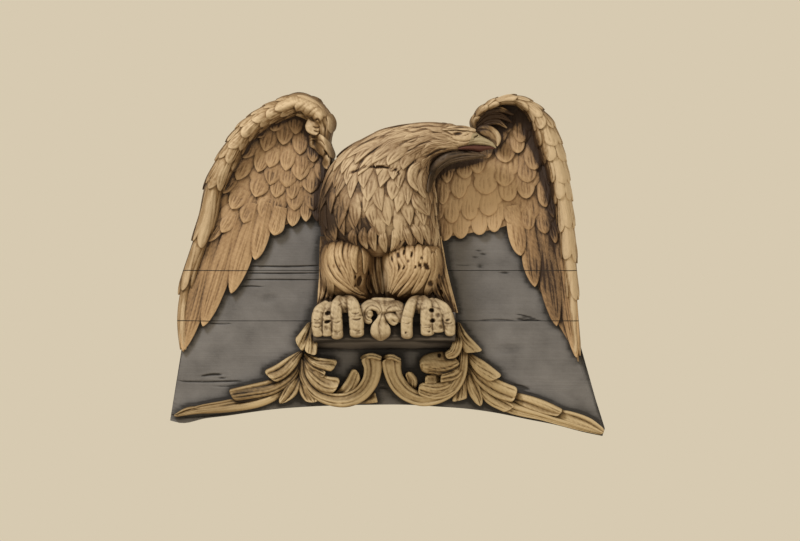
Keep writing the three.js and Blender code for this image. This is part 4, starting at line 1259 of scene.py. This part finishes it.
def rounded(levels, v, z, out):
    """Section bulging from the planks at height z: x is the centre less (half-width + out) * cos, and the
    depth rises from the sides to the crest by sin ** 0.85."""
    at, rest = table(levels)
    centre, half, turn, crest = np.moveaxis(spline(z, at, rest), -1, 0)
    lift = np.sin(np.pi * v) ** 0.85
    return place(centre - (half + out) * np.cos(np.pi * v), turn + (crest + out - turn) * lift, z)


THIGHS = {  # z, centre, half-width, depth of the sides and of the crest, from below upwards
    "left": [[-175, -72, 28, 110, 165], [-145, -104, 50, 115, 205], [-110, -118, 60, 118, 226],
             [-69, -116, 67, 120, 234], [-33, -114, 67, 120, 228], [-9, -111, 58, 115, 204],
             [6, -110, 34, 110, 170]],
    "right": [[-172, 38, 38, 110, 165], [-146, 55, 64, 115, 205], [-115, 62, 76, 118, 226],
              [-77, 65, 81, 120, 236], [-41, 66, 80, 120, 230], [-16, 64, 70, 115, 206],
              [0, 58, 44, 110, 172]],
}
TRUNK = [[-200, -2, 192, 92, 116], [-120, -10, 178, 92, 122], [10, -20, 163, 96, 128]]


def cuff(levels):
    """A thigh before its strands are laid on: sections that bulge from the planks, drawn in above and
    below."""
    z = np.linspace(levels[-1][0], levels[0][0], 70)[:, None]
    v = np.linspace(0, 1, 97)[None, :]
    front = rounded(levels, v, z, 0)
    back = place(front[..., 0], 90, front[..., 2])[:, ::-12]
    return np.concatenate([front, back], 1)[None], 0, z[None], 0.4, 0.2


def trunk():
    """The block behind the thighs, with 17 flutes where long feathers hang down: they stand out by
    |sin| ** 0.7 of the share round it, and waver a little."""
    u = np.linspace(0, 1, 60)[:, None]
    v = np.linspace(0, 1, 219)[None, :]
    z = TRUNK[-1][0] + (TRUNK[0][0] - TRUNK[-1][0]) * u
    out = 4 * np.abs(np.sin(np.pi * 17 * (v + 0.02 * np.sin(7 * u)))) ** 0.7
    front = rounded(TRUNK, v, z, out)
    back = place(front[..., 0], FOOTING, front[..., 2])[:, ::-20]
    # painted shade and dirt in the valleys between the flutes
    dirt_and_shade = np.concatenate([1 - out / 4, 1 + 0 * out[:, ::-20]], 1)[None]
    return np.concatenate([front, back], 1)[None], 0, 180 * u[None], 0.5, dirt_and_shade


forms = [cuff(THIGHS["left"]), cuff(THIGHS["right"]), trunk()]
over_thighs = relief(forms)
print("the right thigh reaches", round(float(over_thighs(np.array(65.0), np.array(-77.0)))), "mm forward")

# %% Strands on the thighs
STRANDS = [  # spine and half-widths, from the left
    [[[-169, -18], [-176, -46], [-171, -76], [-153, -106], [-123, -131], [-87, -153], [-60, -159]],
     [8, 10, 9, 8, 8, 6, 3]],
    [[[-149, 0], [-157, -40], [-150, -73], [-132, -101], [-102, -128], [-72, -149]], [9, 12, 11, 10, 8, 3]],
    [[[-125, 2], [-135, -32], [-130, -59], [-117, -86], [-107, -113], [-91, -137], [-63, -149]],
     [9, 11, 11, 10, 9, 6, 2]],
    [[[-104, 0], [-111, -43], [-107, -70], [-99, -100], [-95, -126], [-75, -143]], [9, 12, 11, 9, 8, 2]],
    [[[-85, -4], [-94, -40], [-93, -64], [-85, -91]], [9, 12, 10, 2]],
    [[[-67, -8], [-57, -43], [-58, -64], [-64, -94]], [9, 12, 10, 2]],
    [[[-181, -50], [-180, -85], [-175, -114], [-178, -144], [-185, -165]], [4, 5, 5, 5, 4]],
    [[[-178, -76], [-164, -106], [-161, -135], [-170, -162]], [3, 6, 7, 4]],
    [[[-166, -97], [-153, -120], [-153, -141], [-158, -165]], [3, 6, 6, 4]],
    [[[-42, -28], [-45, -70], [-39, -111], [-29, -149]], [6, 8, 7, 4]],
    [[[-27, -37], [-26, -76], [-20, -114], [-14, -149]], [5, 7, 7, 4]],
    [[[-51, -94], [-54, -120], [-45, -147]], [4, 6, 4]],
    [[[-7, -26], [-5, -62], [5, -89], [5, -117], [-2, -144]], [8, 10, 9, 7, 2]],
    [[[11, -16], [15, -56], [20, -83], [13, -113], [3, -143]], [8, 12, 9, 8, 2]],
    [[[34, -8], [35, -49], [44, -73], [28, -101], [15, -125], [6, -147]], [10, 13, 12, 9, 7, 2]],
    [[[59, -5], [60, -46], [62, -76], [46, -106], [25, -131], [11, -150]], [10, 14, 13, 11, 8, 2]],
    [[[84, -9], [83, -55], [80, -85], [65, -114], [43, -140], [26, -156]], [10, 14, 13, 11, 9, 3]],
    [[[106, -18], [106, -70], [98, -97], [84, -123], [65, -150]], [10, 14, 13, 11, 6]],
    [[[124, -34], [128, -88], [118, -114], [106, -141], [101, -161]], [8, 13, 12, 10, 5]],
    [[[134, -24], [142, -66], [146, -100]], [6, 9, 4]],
    [[[134, -79], [143, -114], [152, -141], [167, -171]], [4, 6, 6, 4]],
    [[[126, -106], [128, -129], [137, -153], [155, -177]], [4, 7, 7, 4]],
    [[[143, -126], [149, -147], [163, -177], [175, -201]], [2, 4, 4, 2]],
]
THIGH_HOLES = [  # wormholes and losses: x, z, half-width, half-height, turn and depth
    [28, -43, 4, 7, 0.2, 9], [44, -35, 3, 7, -0.2, 8], [65, -40, 3, 9, -0.2, 8], [11, -53, 3, 7, 0.2, 7],
    [44, -76, 4, 3, 0.5, 7], [74, -76, 4, 3, 0.3, 7], [87, -70, 4, 8, 0.5, 9], [105, -73, 6, 11, 0.6, 10],
    [116, -120, 7, 8, 0.4, 10], [140, -100, 3, 7, 0, 8], [146, -143, 4, 6, 0.3, 8], [-90, -101, 3, 4, 0, 7],
    [-90, -126, 3, 4, 0, 6], [-78, -112, 6, 13, -0.2, 12], [55, -60, 5, 3, 0.6, 5], [92, -50, 4, 4, 0, 5],
]
HAIRLINE = [[[[-178, -71], [-140, -72], [-100, -70]], 1.2, 2.5]]  # the crack across the left thigh
strands = [
    strip(
        over_thighs, *strand, 6, crown=4, hollow=3, flutes=2, cap=2, point=1.2, root=0.8, dish=1.5,
        size=(38, 17), seed=k,
    )
    for k, strand in enumerate(STRANDS)
]
thighs = carve(forms + strands, HAIRLINE, THIGH_HOLES, rough=0.8)
add_piece("thighs", thighs, thigh_paint)


# %% [markdown]
# ## Feet
# Each foot grips the perch with four thick toes, which come out over it and hang down its front. They are old
# bone-white paint, worn and pitted. A toe is a rounded bar along its own line, a little narrower at each
# knuckle, and the instep is a plain ball that the toes grow out of. A few cuts over the knuckles say skin.


# %% Toes and insteps
def limb(path, wide, deep, knuckles, rings=72, points=36):
    """A rounded bar along a path. Each ring is a blunt ellipse square to the path, whose one axis is the
    part of a forward and upward direction that is square to the path. It is drawn in at each knuckle by
    exp(-(gap / 0.02) ** 2) and closed by a round end."""
    u = np.linspace(0, 1, rings)
    p, way = walk(path, u)
    up = np.array([0, -1, 0.5])
    third = up - way * (way @ up)[:, None]
    third /= np.linalg.norm(third, axis=-1, keepdims=True)
    side = np.cross(third, way)
    a = full_turn(points)[..., None]
    bend = sum(np.exp(-(((u - knuckle) / 0.02) ** 2)) for knuckle in knuckles)
    end = np.sqrt(np.clip(1 - (np.clip(u - 0.93, 0, 1) / 0.07) ** 2, 0.02, 1))
    swell = ((1 - 0.05 * bend) * end)[:, None, None]
    cos, sin = (np.sign(f(a)) * np.abs(f(a)) ** 0.8 for f in (np.cos, np.sin))
    ring = side[:, None] * cos * evenly(u, wide)[:, None, None] * swell
    ring = ring + third[:, None] * sin * deep * swell
    # painted shade at each knuckle and down both flanks of the toe, with dirt in the creases
    dirt_and_shade = 0.4 * bend[None, :, None] + 0.3 * np.abs(np.cos(a[None, ..., 0])) ** 6
    return (p[:, None] + ring)[None], 30 * a[None, ..., 0], 100 * u[None, :, None], 0.5, dirt_and_shade


def ball(centre, radii, rings=30, points=44):
    """An ellipsoid as rings round the x axis, from near one pole to near the other."""
    b = np.linspace(0.04, np.pi - 0.04, rings)[:, None]
    a = full_turn(points)
    unit = np.stack(np.broadcast_arrays(-np.cos(b), np.sin(b) * np.cos(a), np.sin(b) * np.sin(a)), -1)
    return (np.array(centre) + unit * radii)[None], 30 * a[None], 60 * b[None], 0.5, 0


TOE_DEPTHS = [200, 232, 239, 233]  # mm along each toe: out over the perch and down its front
TOE_THICK = 15  # mm: half the thickness of a toe from front to back
TOES = [  # x and z along each toe, half-widths, and where its knuckles are
    [[[-166, -180], [-188, -200], [-192, -234], [-188, -264]], [15, 17, 16, 14], (0.42, 0.66)],
    [[[-152, -182], [-164, -205], [-166, -238], [-163, -262]], [15, 17, 16, 15], (0.6,)],
    [[[-130, -166], [-140, -182], [-140, -225], [-137, -271]], [15, 16, 17, 16], (0.55, 0.8)],
    [[[-114, -166], [-97, -174], [-87, -213], [-84, -266]], [16, 17, 20, 19], (0.42, 0.56, 0.82)],
    [[[84, -166], [66, -174], [53, -213], [52, -270]], [15, 15, 16, 16], (0.56,)],
    [[[92, -166], [104, -180], [107, -219], [108, -262]], [17, 17, 19, 18], (0.74,)],
    [[[114, -172], [130, -195], [136, -225], [137, -252]], [17, 18, 19, 18], (0.7,)],
    [[[126, -174], [154, -194], [166, -225], [170, -262]], [16, 18, 17, 13], (0.5, 0.75)],
]
INSTEPS = [  # centre as x, depth and z, and the three radii
    [[-119, 206, -177], [28, 36, 23]], [[-155, 204, -190], [34, 34, 20]],
    [[86, 206, -178], [34, 36, 24]], [[130, 206, -192], [38, 36, 24]],
]
insteps = [ball((x, -depth, z), radii) for (x, depth, z), radii in INSTEPS]
toes = []
for line, wide, knuckles in TOES:
    path = [[x, -depth, z] for (x, z), depth in zip(line, TOE_DEPTHS)]
    toes.append(limb(path, wide, TOE_THICK, knuckles))
print("toes:", len(toes))

# %% Skin and losses of the feet
KNUCKLES = [  # short cuts over the toes: path, half-width and depth
    [[[-150, -223], [-139, -226], [-128, -221]], 1.7, 2.5],
    [[[-100, -199], [-88, -202], [-78, -199]], 1.7, 3],
    [[[-97, -216], [-84, -218], [-73, -214]], 1.9, 3.5], [[[-200, -217], [-191, -220], [-184, -215]], 1.7, 3],
    [[[-202, -236], [-189, -239], [-181, -234]], 1.5, 2.5],
    [[[-146, -250], [-137, -252], [-129, -249]], 1.6, 2.5],
    [[[42, -226], [53, -229], [63, -224]], 1.6, 2.5], [[[154, -225], [165, -229], [176, -224]], 1.7, 3],
    [[[97, -238], [108, -240], [117, -236]], 1.5, 2], [[[-92, -246], [-84, -249], [-74, -247]], 1.6, 3],
    [[[-136, -180], [-122, -172], [-106, -176]], 1.6, 2], [[[72, -182], [86, -173], [104, -178]], 1.6, 2],
    [[[-156, -186], [-166, -196], [-176, -200]], 1.8, 2], [[[112, -180], [128, -184], [146, -190]], 1.8, 2],
    [[[-153, -258], [-152, -235], [-151, -216]], 1.6, 2.5],
    [[[-178, -258], [-178, -235], [-176, -214]], 1.6, 2.5],
    [[[122, -258], [121, -244], [121, -230]], 1.6, 2.5], [[[152, -252], [151, -232], [147, -212]], 1.8, 3],
]
FOOT_HOLES = [  # wormholes, and shallow stains: x, z, half-width, half-height, turn and depth
    [-163, -200, 7, 5, 0.3, 13], [-164, -223, 8, 4, 0.3, 12], [78, -202, 5, 11, 0, 10],
    [119, -192, 6, 5, -0.3, 13], [122, -220, 6, 5, 0, 13], [49, -253, 2.5, 2.5, 0, 6],
    [111, -250, 2.5, 2.5, 0, 6], [-168, -241, 7, 7, 0, 2], [144, -238, 8, 6, 0.4, 2],
    [-192, -226, 8, 4, 0.2, 2], [162, -219, 6, 3, 0.2, 4], [-140, -256, 6, 4, 0, 2],
    [136, -206, 7, 6, 0, 3], [96, -188, 8, 4, 0.3, 2], [-112, -188, 7, 3, 0.3, 2], [-80, -254, 7, 4, 0, 2],
]
feet = carve(insteps + toes, KNUCKLES, FOOT_HOLES, rough=1.3)
add_piece("feet", feet, foot_paint)

# %% [markdown]
# ## Perch
# The feet grip a shelf with a roll on it, both painted nearly black as painted shadow. Between them a carved
# leaf hangs from the roll, with a fan above it and a curl on either side. Each lobe is a strip again.

# %% Shelf and roll
PERCH = {"left": -204, "right": 184, "top": -176, "bottom": -273, "depth": 212, "roll": 176}


def shelf():
    """The shelf's profile, drawn as corners in depth and z, carried along x."""
    top, bottom, depth = PERCH["top"], PERCH["bottom"], PERCH["depth"]
    corners = [
        [FOOTING, top - 22], [depth - 24, top - 22], [depth - 14, bottom + 34], [depth - 18, bottom + 12],
        [depth - 34, bottom], [depth / 2, bottom - 6], [FOOTING, bottom - 30],
    ]
    corners = np.array([*corners, corners[0]], float)
    reach = reach_along(corners)
    at = np.linspace(0, reach[-1], 90, endpoint=False)
    x = np.linspace(PERCH["left"], PERCH["right"], 80)[:, None]
    depth, z = (np.interp(at, reach, corners[:, k])[None] for k in (0, 1))
    return place(x, depth, z + 0 * x)[None], (z + 0 * x)[None], (x + 0 * z)[None], 0.5, 0


def bar_along_x(start, end, depth, z, deep, high, rings=60, points=48):
    """A bar along x, whose rings are ellipses: depth goes with cos and height with sin."""
    x = np.linspace(start, end, rings)[:, None]
    a = full_turn(points)
    return place(x, depth + deep * np.cos(a), z + high * np.sin(a))[None], 40 * a[None], x[None], 0.5, 0


perch_roll = bar_along_x(PERCH["left"] + 28, PERCH["right"] - 28, PERCH["roll"], PERCH["top"] - 26, 28, 30)
add_piece("perch_shelf", carve([shelf(), perch_roll]), shelf_shadow_paint, ["perch"])

# %% Leaf on the perch
LOBES = [  # hanging leaf, fan and curls: spine, half-widths, height, flutes, length and point of the end
    [[[-48, -214], [-49, -203], [-47, -193]], [7, 9, 6], 34, 1, 0.8, 0.6],
    [[[-15, -212], [-14, -188], [-13, -158]], [7, 18, 38], 26, 3, 0.25, 0.4],
    [[[-19, -210], [-27, -186], [-48, -178], [-64, -192], [-61, -216], [-44, -224]],
     [7, 11, 15, 15, 12, 7], 31, 2, 0.8, 0.8],
    [[[-10, -206], [3, -188], [23, -182], [42, -190]], [7, 14, 17, 13], 28, 2, 0.7, 0.7],
    [[[22, -192], [35, -206], [38, -226]], [12, 15, 9], 30, 2, 0.8, 0.7],
    [[[-8, -204], [9, -213], [27, -226]], [7, 15, 14], 34, 2, 0.7, 0.6],
    [[[-15, -196], [-18, -216], [-20, -234], [-20, -252], [-20, -276]], [8, 13, 25, 27, 17], 33, 2, 1, 1],
]
over_perch = relief([perch_roll, shelf()])
lobes = [
    strip(
        over_perch, line, halves, height, crown=6, hollow=4, flutes=flutes, cap=cap, point=point, root=0.8,
        seed=k,
    )
    for k, (line, halves, height, flutes, cap, point) in enumerate(LOBES)
]
add_piece("perch_leaf", carve(lobes, rough=0.8), foot_paint)

# %% [markdown]
# ## Sprays of leaves
# Two sprays of acanthus run out from below the perch to the corners, and each sends a scroll back to the
# middle. A leaf is a strip on the board with hollow flutes between sharp ridges. Its end stands up a little
# and is cut off blunt, drawn to a point or hooked. The right spray also holds a bud in a curled leaf.

# %% Places of the leaves
ACANTHUS = {  # spine, half-widths, height, flutes, length and point of the end, hook of the end
    "left": [
        [[[-213, -226], [-225, -257], [-247, -292]], [7, 16, 19], 46, 3, 0.6, 0.5, 0.5],
        [[[-201, -230], [-207, -265], [-213, -314]], [6, 14, 18], 50, 3, 0.6, 0.6, 0.2],
        [[[-236, -307], [-266, -337], [-298, -363], [-328, -377]], [6, 17, 22, 21], 36, 3, 0.5, 0.5, -0.4],
        [[[-239, -319], [-264, -366], [-313, -401], [-376, -417], [-432, -428]],
         [6, 18, 21, 20, 18], 30, 3, 0.5, 0.5, -0.3],
        [[[-500, -474], [-530, -464], [-562, -470], [-584, -480]], [3, 6, 6, 2], 26, 1, 1.5, 1, 0],
        [[[-243, -332], [-270, -392], [-329, -430], [-444, -458], [-534, -470], [-590, -484]],
         [6, 17, 20, 18, 13, 4], 24, 3, 2.5, 1.2, 0],
        [[[-245, -370], [-266, -412], [-297, -450]], [9, 19, 8], 28, 3, 1.6, 1.2, -0.4],
        [[[-231, -314], [-199, -335], [-145, -347]], [6, 14, 18], 44, 3, 0.6, 0.6, 0.3],
        [[[-232, -323], [-211, -352], [-174, -371]], [5, 13, 11], 34, 2, 0.7, 0.7, 0],
        [[[-232, -332], [-207, -372], [-175, -396], [-137, -400]], [6, 17, 23, 21], 38, 3, 0.6, 0.6, 0.3],
        [[[-240, -380], [-227, -414], [-205, -447]], [7, 18, 17], 26, 3, 0.7, 0.8, 0.5],
        [[[-229, -395], [-211, -424], [-186, -437]], [6, 11, 11], 22, 2, 0.8, 0.8, 0],
        [[[-104, -448], [-65, -442], [-32, -433]], [3, 10, 15], 8, 1, 0.15, 0.3, 0],
        [[[-148, -436], [-112, -411], [-84, -362]], [10, 18, 16], 34, 2, 0.8, 0.8, 0.4],
        [[[-239, -328], [-229, -380], [-201, -419], [-159, -438], [-112, -440], [-73, -421], [-49, -388],
          [-42, -352], [-47, -324]], [6, 13, 15, 17, 19, 21, 22, 24, 28], 40, 3, 0.4, 0.4, 0.2],
        [[[-76, -326], [-47, -319], [-18, -325]], [6, 8, 6], 54, 1, 0.8, 0.6, 0],
    ],
    "right": [
        [[[191, -226], [205, -266], [238, -309]], [6, 16, 21], 44, 3, 0.35, 0.4, 0.6],
        [[[219, -314], [252, -347], [299, -382]], [7, 19, 17], 38, 3, 0.6, 0.5, 0.5],
        [[[222, -335], [260, -381], [309, -413], [352, -428]], [7, 19, 24, 22], 32, 3, 0.5, 0.5, 0],
        [[[333, -429], [381, -445], [430, -462], [475, -477]], [12, 18, 19, 12], 26, 2, 0.5, 0.5, 0.4],
        [[[442, -474], [502, -492], [555, -509], [594, -530]], [9, 19, 18, 9], 22, 2, 1.2, 0.8, 0],
        [[[220, -347], [252, -407], [321, -454], [434, -489], [539, -520], [587, -533]],
         [7, 17, 16, 11, 9, 4], 22, 3, 2, 1, 0],
        [[[236, -385], [277, -429], [336, -467]], [7, 18, 15], 27, 3, 0.4, 0.5, 0.5],
        [[[222, -365], [236, -409], [254, -457]], [7, 18, 8], 28, 3, 1.8, 1.2, 0.3],
        [[[206, -365], [203, -405], [197, -442]], [7, 16, 20], 24, 3, 0.3, 0.4, -0.4],
        [[[198, -365], [176, -401], [135, -416], [84, -409]], [9, 20, 22, 17], 42, 4, 0.7, 0.6, 0],
        [[[147, -386], [123, -388], [102, -388]], [14, 17, 15], 36, 1, 0.6, 0.5, 0],
        [[[207, -335], [188, -368], [145, -381]], [8, 13, 11], 46, 2, 0.4, 0.5, 0.4],
        [[[189, -250], [191, -282], [180, -310], [158, -318]], [7, 13, 15, 10], 62, 3, 0.8, 0.7, 0],
        [[[192, -230], [205, -282], [207, -331], [196, -379], [172, -413], [135, -433], [91, -438],
          [51, -421], [24, -391], [12, -359], [9, -327]],
         [6, 11, 13, 16, 18, 18, 19, 20, 23, 24, 28], 38, 3, 0.4, 0.4, 0],
        [[[60, -418], [66, -388], [54, -364]], [12, 15, 9], 34, 2, 0.8, 0.7, 0],
        [[[-19, -328], [8, -322], [35, -332]], [6, 8, 6], 52, 1, 0.8, 0.6, 0],
    ],
}
print("leaves:", {name: len(leaves) for name, leaves in ACANTHUS.items()})

# %% Sprays
BUD = [[[196, -339], [155, -342], [119, -341], [88, -346]], [24, 35, 31, 20]]  # spine and half-widths
BUD_HOLES = [[141, -317, 5, 6, 0, 9], [92, -350, 4, 9, 0, 4]]
BUD_LINES = [
    [[[112, -350], [140, -354], [170, -348], [200, -332]], 1.8, 3.5],
    [[[108, -360], [142, -364], [176, -356], [204, -342]], 1.8, 3.5],
    [[[120, -369], [150, -372], [184, -362]], 1.6, 3],
]


def on_ground(x, z):
    """The face of the boards."""
    return GROUND + 0 * (x + z)


for name, leaves in ACANTHUS.items():
    stacks = [
        strip(
            on_ground, line, halves, height, crown=7, hollow=5, flutes=flutes + (flutes > 1), cap=cap,
            point=point, curl=9, hook=hook, dish=6, size=(32 + 6 * len(line), 25), seed=k,
        )
        for k, (line, halves, height, flutes, cap, point, hook) in enumerate(leaves)
    ]
    if name == "right":
        bud = strip(on_ground, *BUD, 34, crown=20, hollow=3, flutes=4, cap=0.9, point=0.5, root=1, seed=3)
        stacks.append(bud)
    spray = carve(stacks, BUD_LINES, BUD_HOLES, rough=0.6)
    add_piece(f"{name}_spray", spray, spray_paint)

# %% [markdown]
# ## Where painted shade and dirt lie
# The relief is looked at as a map of depths, one cell for every 2 mm. Blurred, it gives the depth that is
# usual round a spot. A point that lies behind that is in a recess, where shade is painted in with dirt, and
# one in front of it is on an edge, where a highlight is painted in with wear. Three widths of blur catch the
# gouge cuts, the steps between feathers and the large hollows. On the boards it paints the shade round the
# carving.
#
# A list of wide soft spots then paints shade and dirt on the carving where shade falls, under the jaw, in
# the hollows beside the rolls, down the throat and round the perch, and makes other places paler. The boards
# need none.

# %% Places of painted shade and dirt, and paler places
# painted shade where shade falls on the carving: under the jaw, in the hollows beside the rolls, down the
# throat and flank of the breast, and round the perch, with dirt
SHADE_AND_SOIL = [  # x, z, half-width, half-height, turn, and the strength: above 0 painted shade and dirt, below 0 paler
    [-178, 70, 30, 110, -0.03, 1.5], [-100, 34, 80, 44, -0.2, 0.8], [122, 110, 10, 100, 0, 1.0],
    [195, 206, 62, 9, 0.2, 1.0], [-262, 306, 70, 34, 0.4, 0.15], [-215, 262, 36, 50, 0, 0.3],
    [392, 282, 17, 62, 0.4, 1.3], [430, 188, 16, 80, 0.22, 1.3], [450, 70, 15, 100, 0.05, 0.9],
    [300, 334, 62, 30, 0.1, 1.6], [190, 190, 60, 16, 0.3, 0.3], [0, -158, 160, 12, 0, 0.5],
    [-10, -264, 205, 9, 0, 0.5], [-12, -215, 75, 60, 0, -0.3], [480, 190, 30, 130, 0.12, -1.0],
    [504, -60, 30, 190, 0.04, -0.7], [-535, 20, 50, 230, -0.25, 0.45], [235, 100, 120, 130, 0, -0.9],
    [440, -130, 60, 180, 0.25, 1.0], [-440, -60, 110, 130, 0, -0.1], [340, 342, 26, 22, 0.3, 1.2],
    [0, 150, 95, 90, 0, -0.2], [40, 290, 110, 30, 0, -0.2], [-470, -450, 140, 40, 0.28, 0.9],
    [-250, -380, 90, 90, 0, 0.2], [300, -400, 110, 70, -0.38, -0.4], [480, -490, 130, 45, -0.38, -0.2],
    [-14, -90, 26, 60, 0, -0.7], [-10, -290, 205, 11, 0, -1.6], [-540, -210, 40, 100, -0.2, 0.05],
    [-140, 110, 30, 110, 0, 0.4], [180, 232, 60, 16, 0, 0.4],
]
print("places:", len(SHADE_AND_SOIL))

# %% Recess
REACHES = (2, 6, 22)  # cells: how far the fine, middle and wide blur reach
SPANS = (2.5, 8, 40)  # mm behind the usual depth that count as a full recess of each
CARVED_SHARES, BOARD_SHARES = (0.5, 0.4, 0.2), (0.4, 0.5, 0.12)  # how much each of the three counts
PLAIN_FACE = 0.2  # taken off, so that a plain face comes out a little paler


def read(mesh, data, name):
    """A vector of every vertex, as (vertices, 3)."""
    out = np.empty(len(mesh.vertices) * 3, np.float32)
    data.foreach_get(name, out)
    return out.reshape(-1, 3).astype(float)


carved = [o for o in bpy.data.objects if o.type == "MESH" and "grain" in o.data.attributes]
depths = depth_map(np.concatenate(seen))
solid = (depths > 0).astype(float)
usual = [blurred(depths * solid, reach) / np.maximum(blurred(solid, reach), 1e-6) for reach in REACHES]

for piece in carved:
    mesh = piece.data
    co = read(mesh, mesh.vertices, "co") / MM
    facing = np.clip(-read(mesh, mesh.vertex_normals, "vector")[:, 1], 0, 1)
    ix, iz = (((co[:, k] - LOW[j]) / CELL).astype(int) for j, k in ((0, 0), (1, 2)))
    shares, spots = (BOARD_SHARES, []) if piece.name.endswith("_board") else (CARVED_SHARES, SHADE_AND_SOIL)
    # painted shade and dirt in recesses, a painted highlight and wear on edges
    recess_shade_and_dirt = 0
    for level, share, span in zip(usual, shares, SPANS):
        recess_shade_and_dirt = recess_shade_and_dirt + share * np.clip((level[iz, ix] + co[:, 1]) / span, -1, 1)
    recess_shade_and_dirt = np.clip(recess_shade_and_dirt - PLAIN_FACE, -1, 1.2) * (0.25 + 0.75 * facing)
    # the spots' painted shade and dirt, and their paler places
    for *spot, strength in spots:
        recess_shade_and_dirt += strength * np.exp(-(off_centre(co[:, 0], co[:, 2], spot) ** 1.5))
    mesh.attributes.new("recess_shade_and_dirt", "FLOAT", "POINT").data.foreach_set("value", recess_shade_and_dirt.astype(np.float32))
print("mapped", len(carved), "pieces")
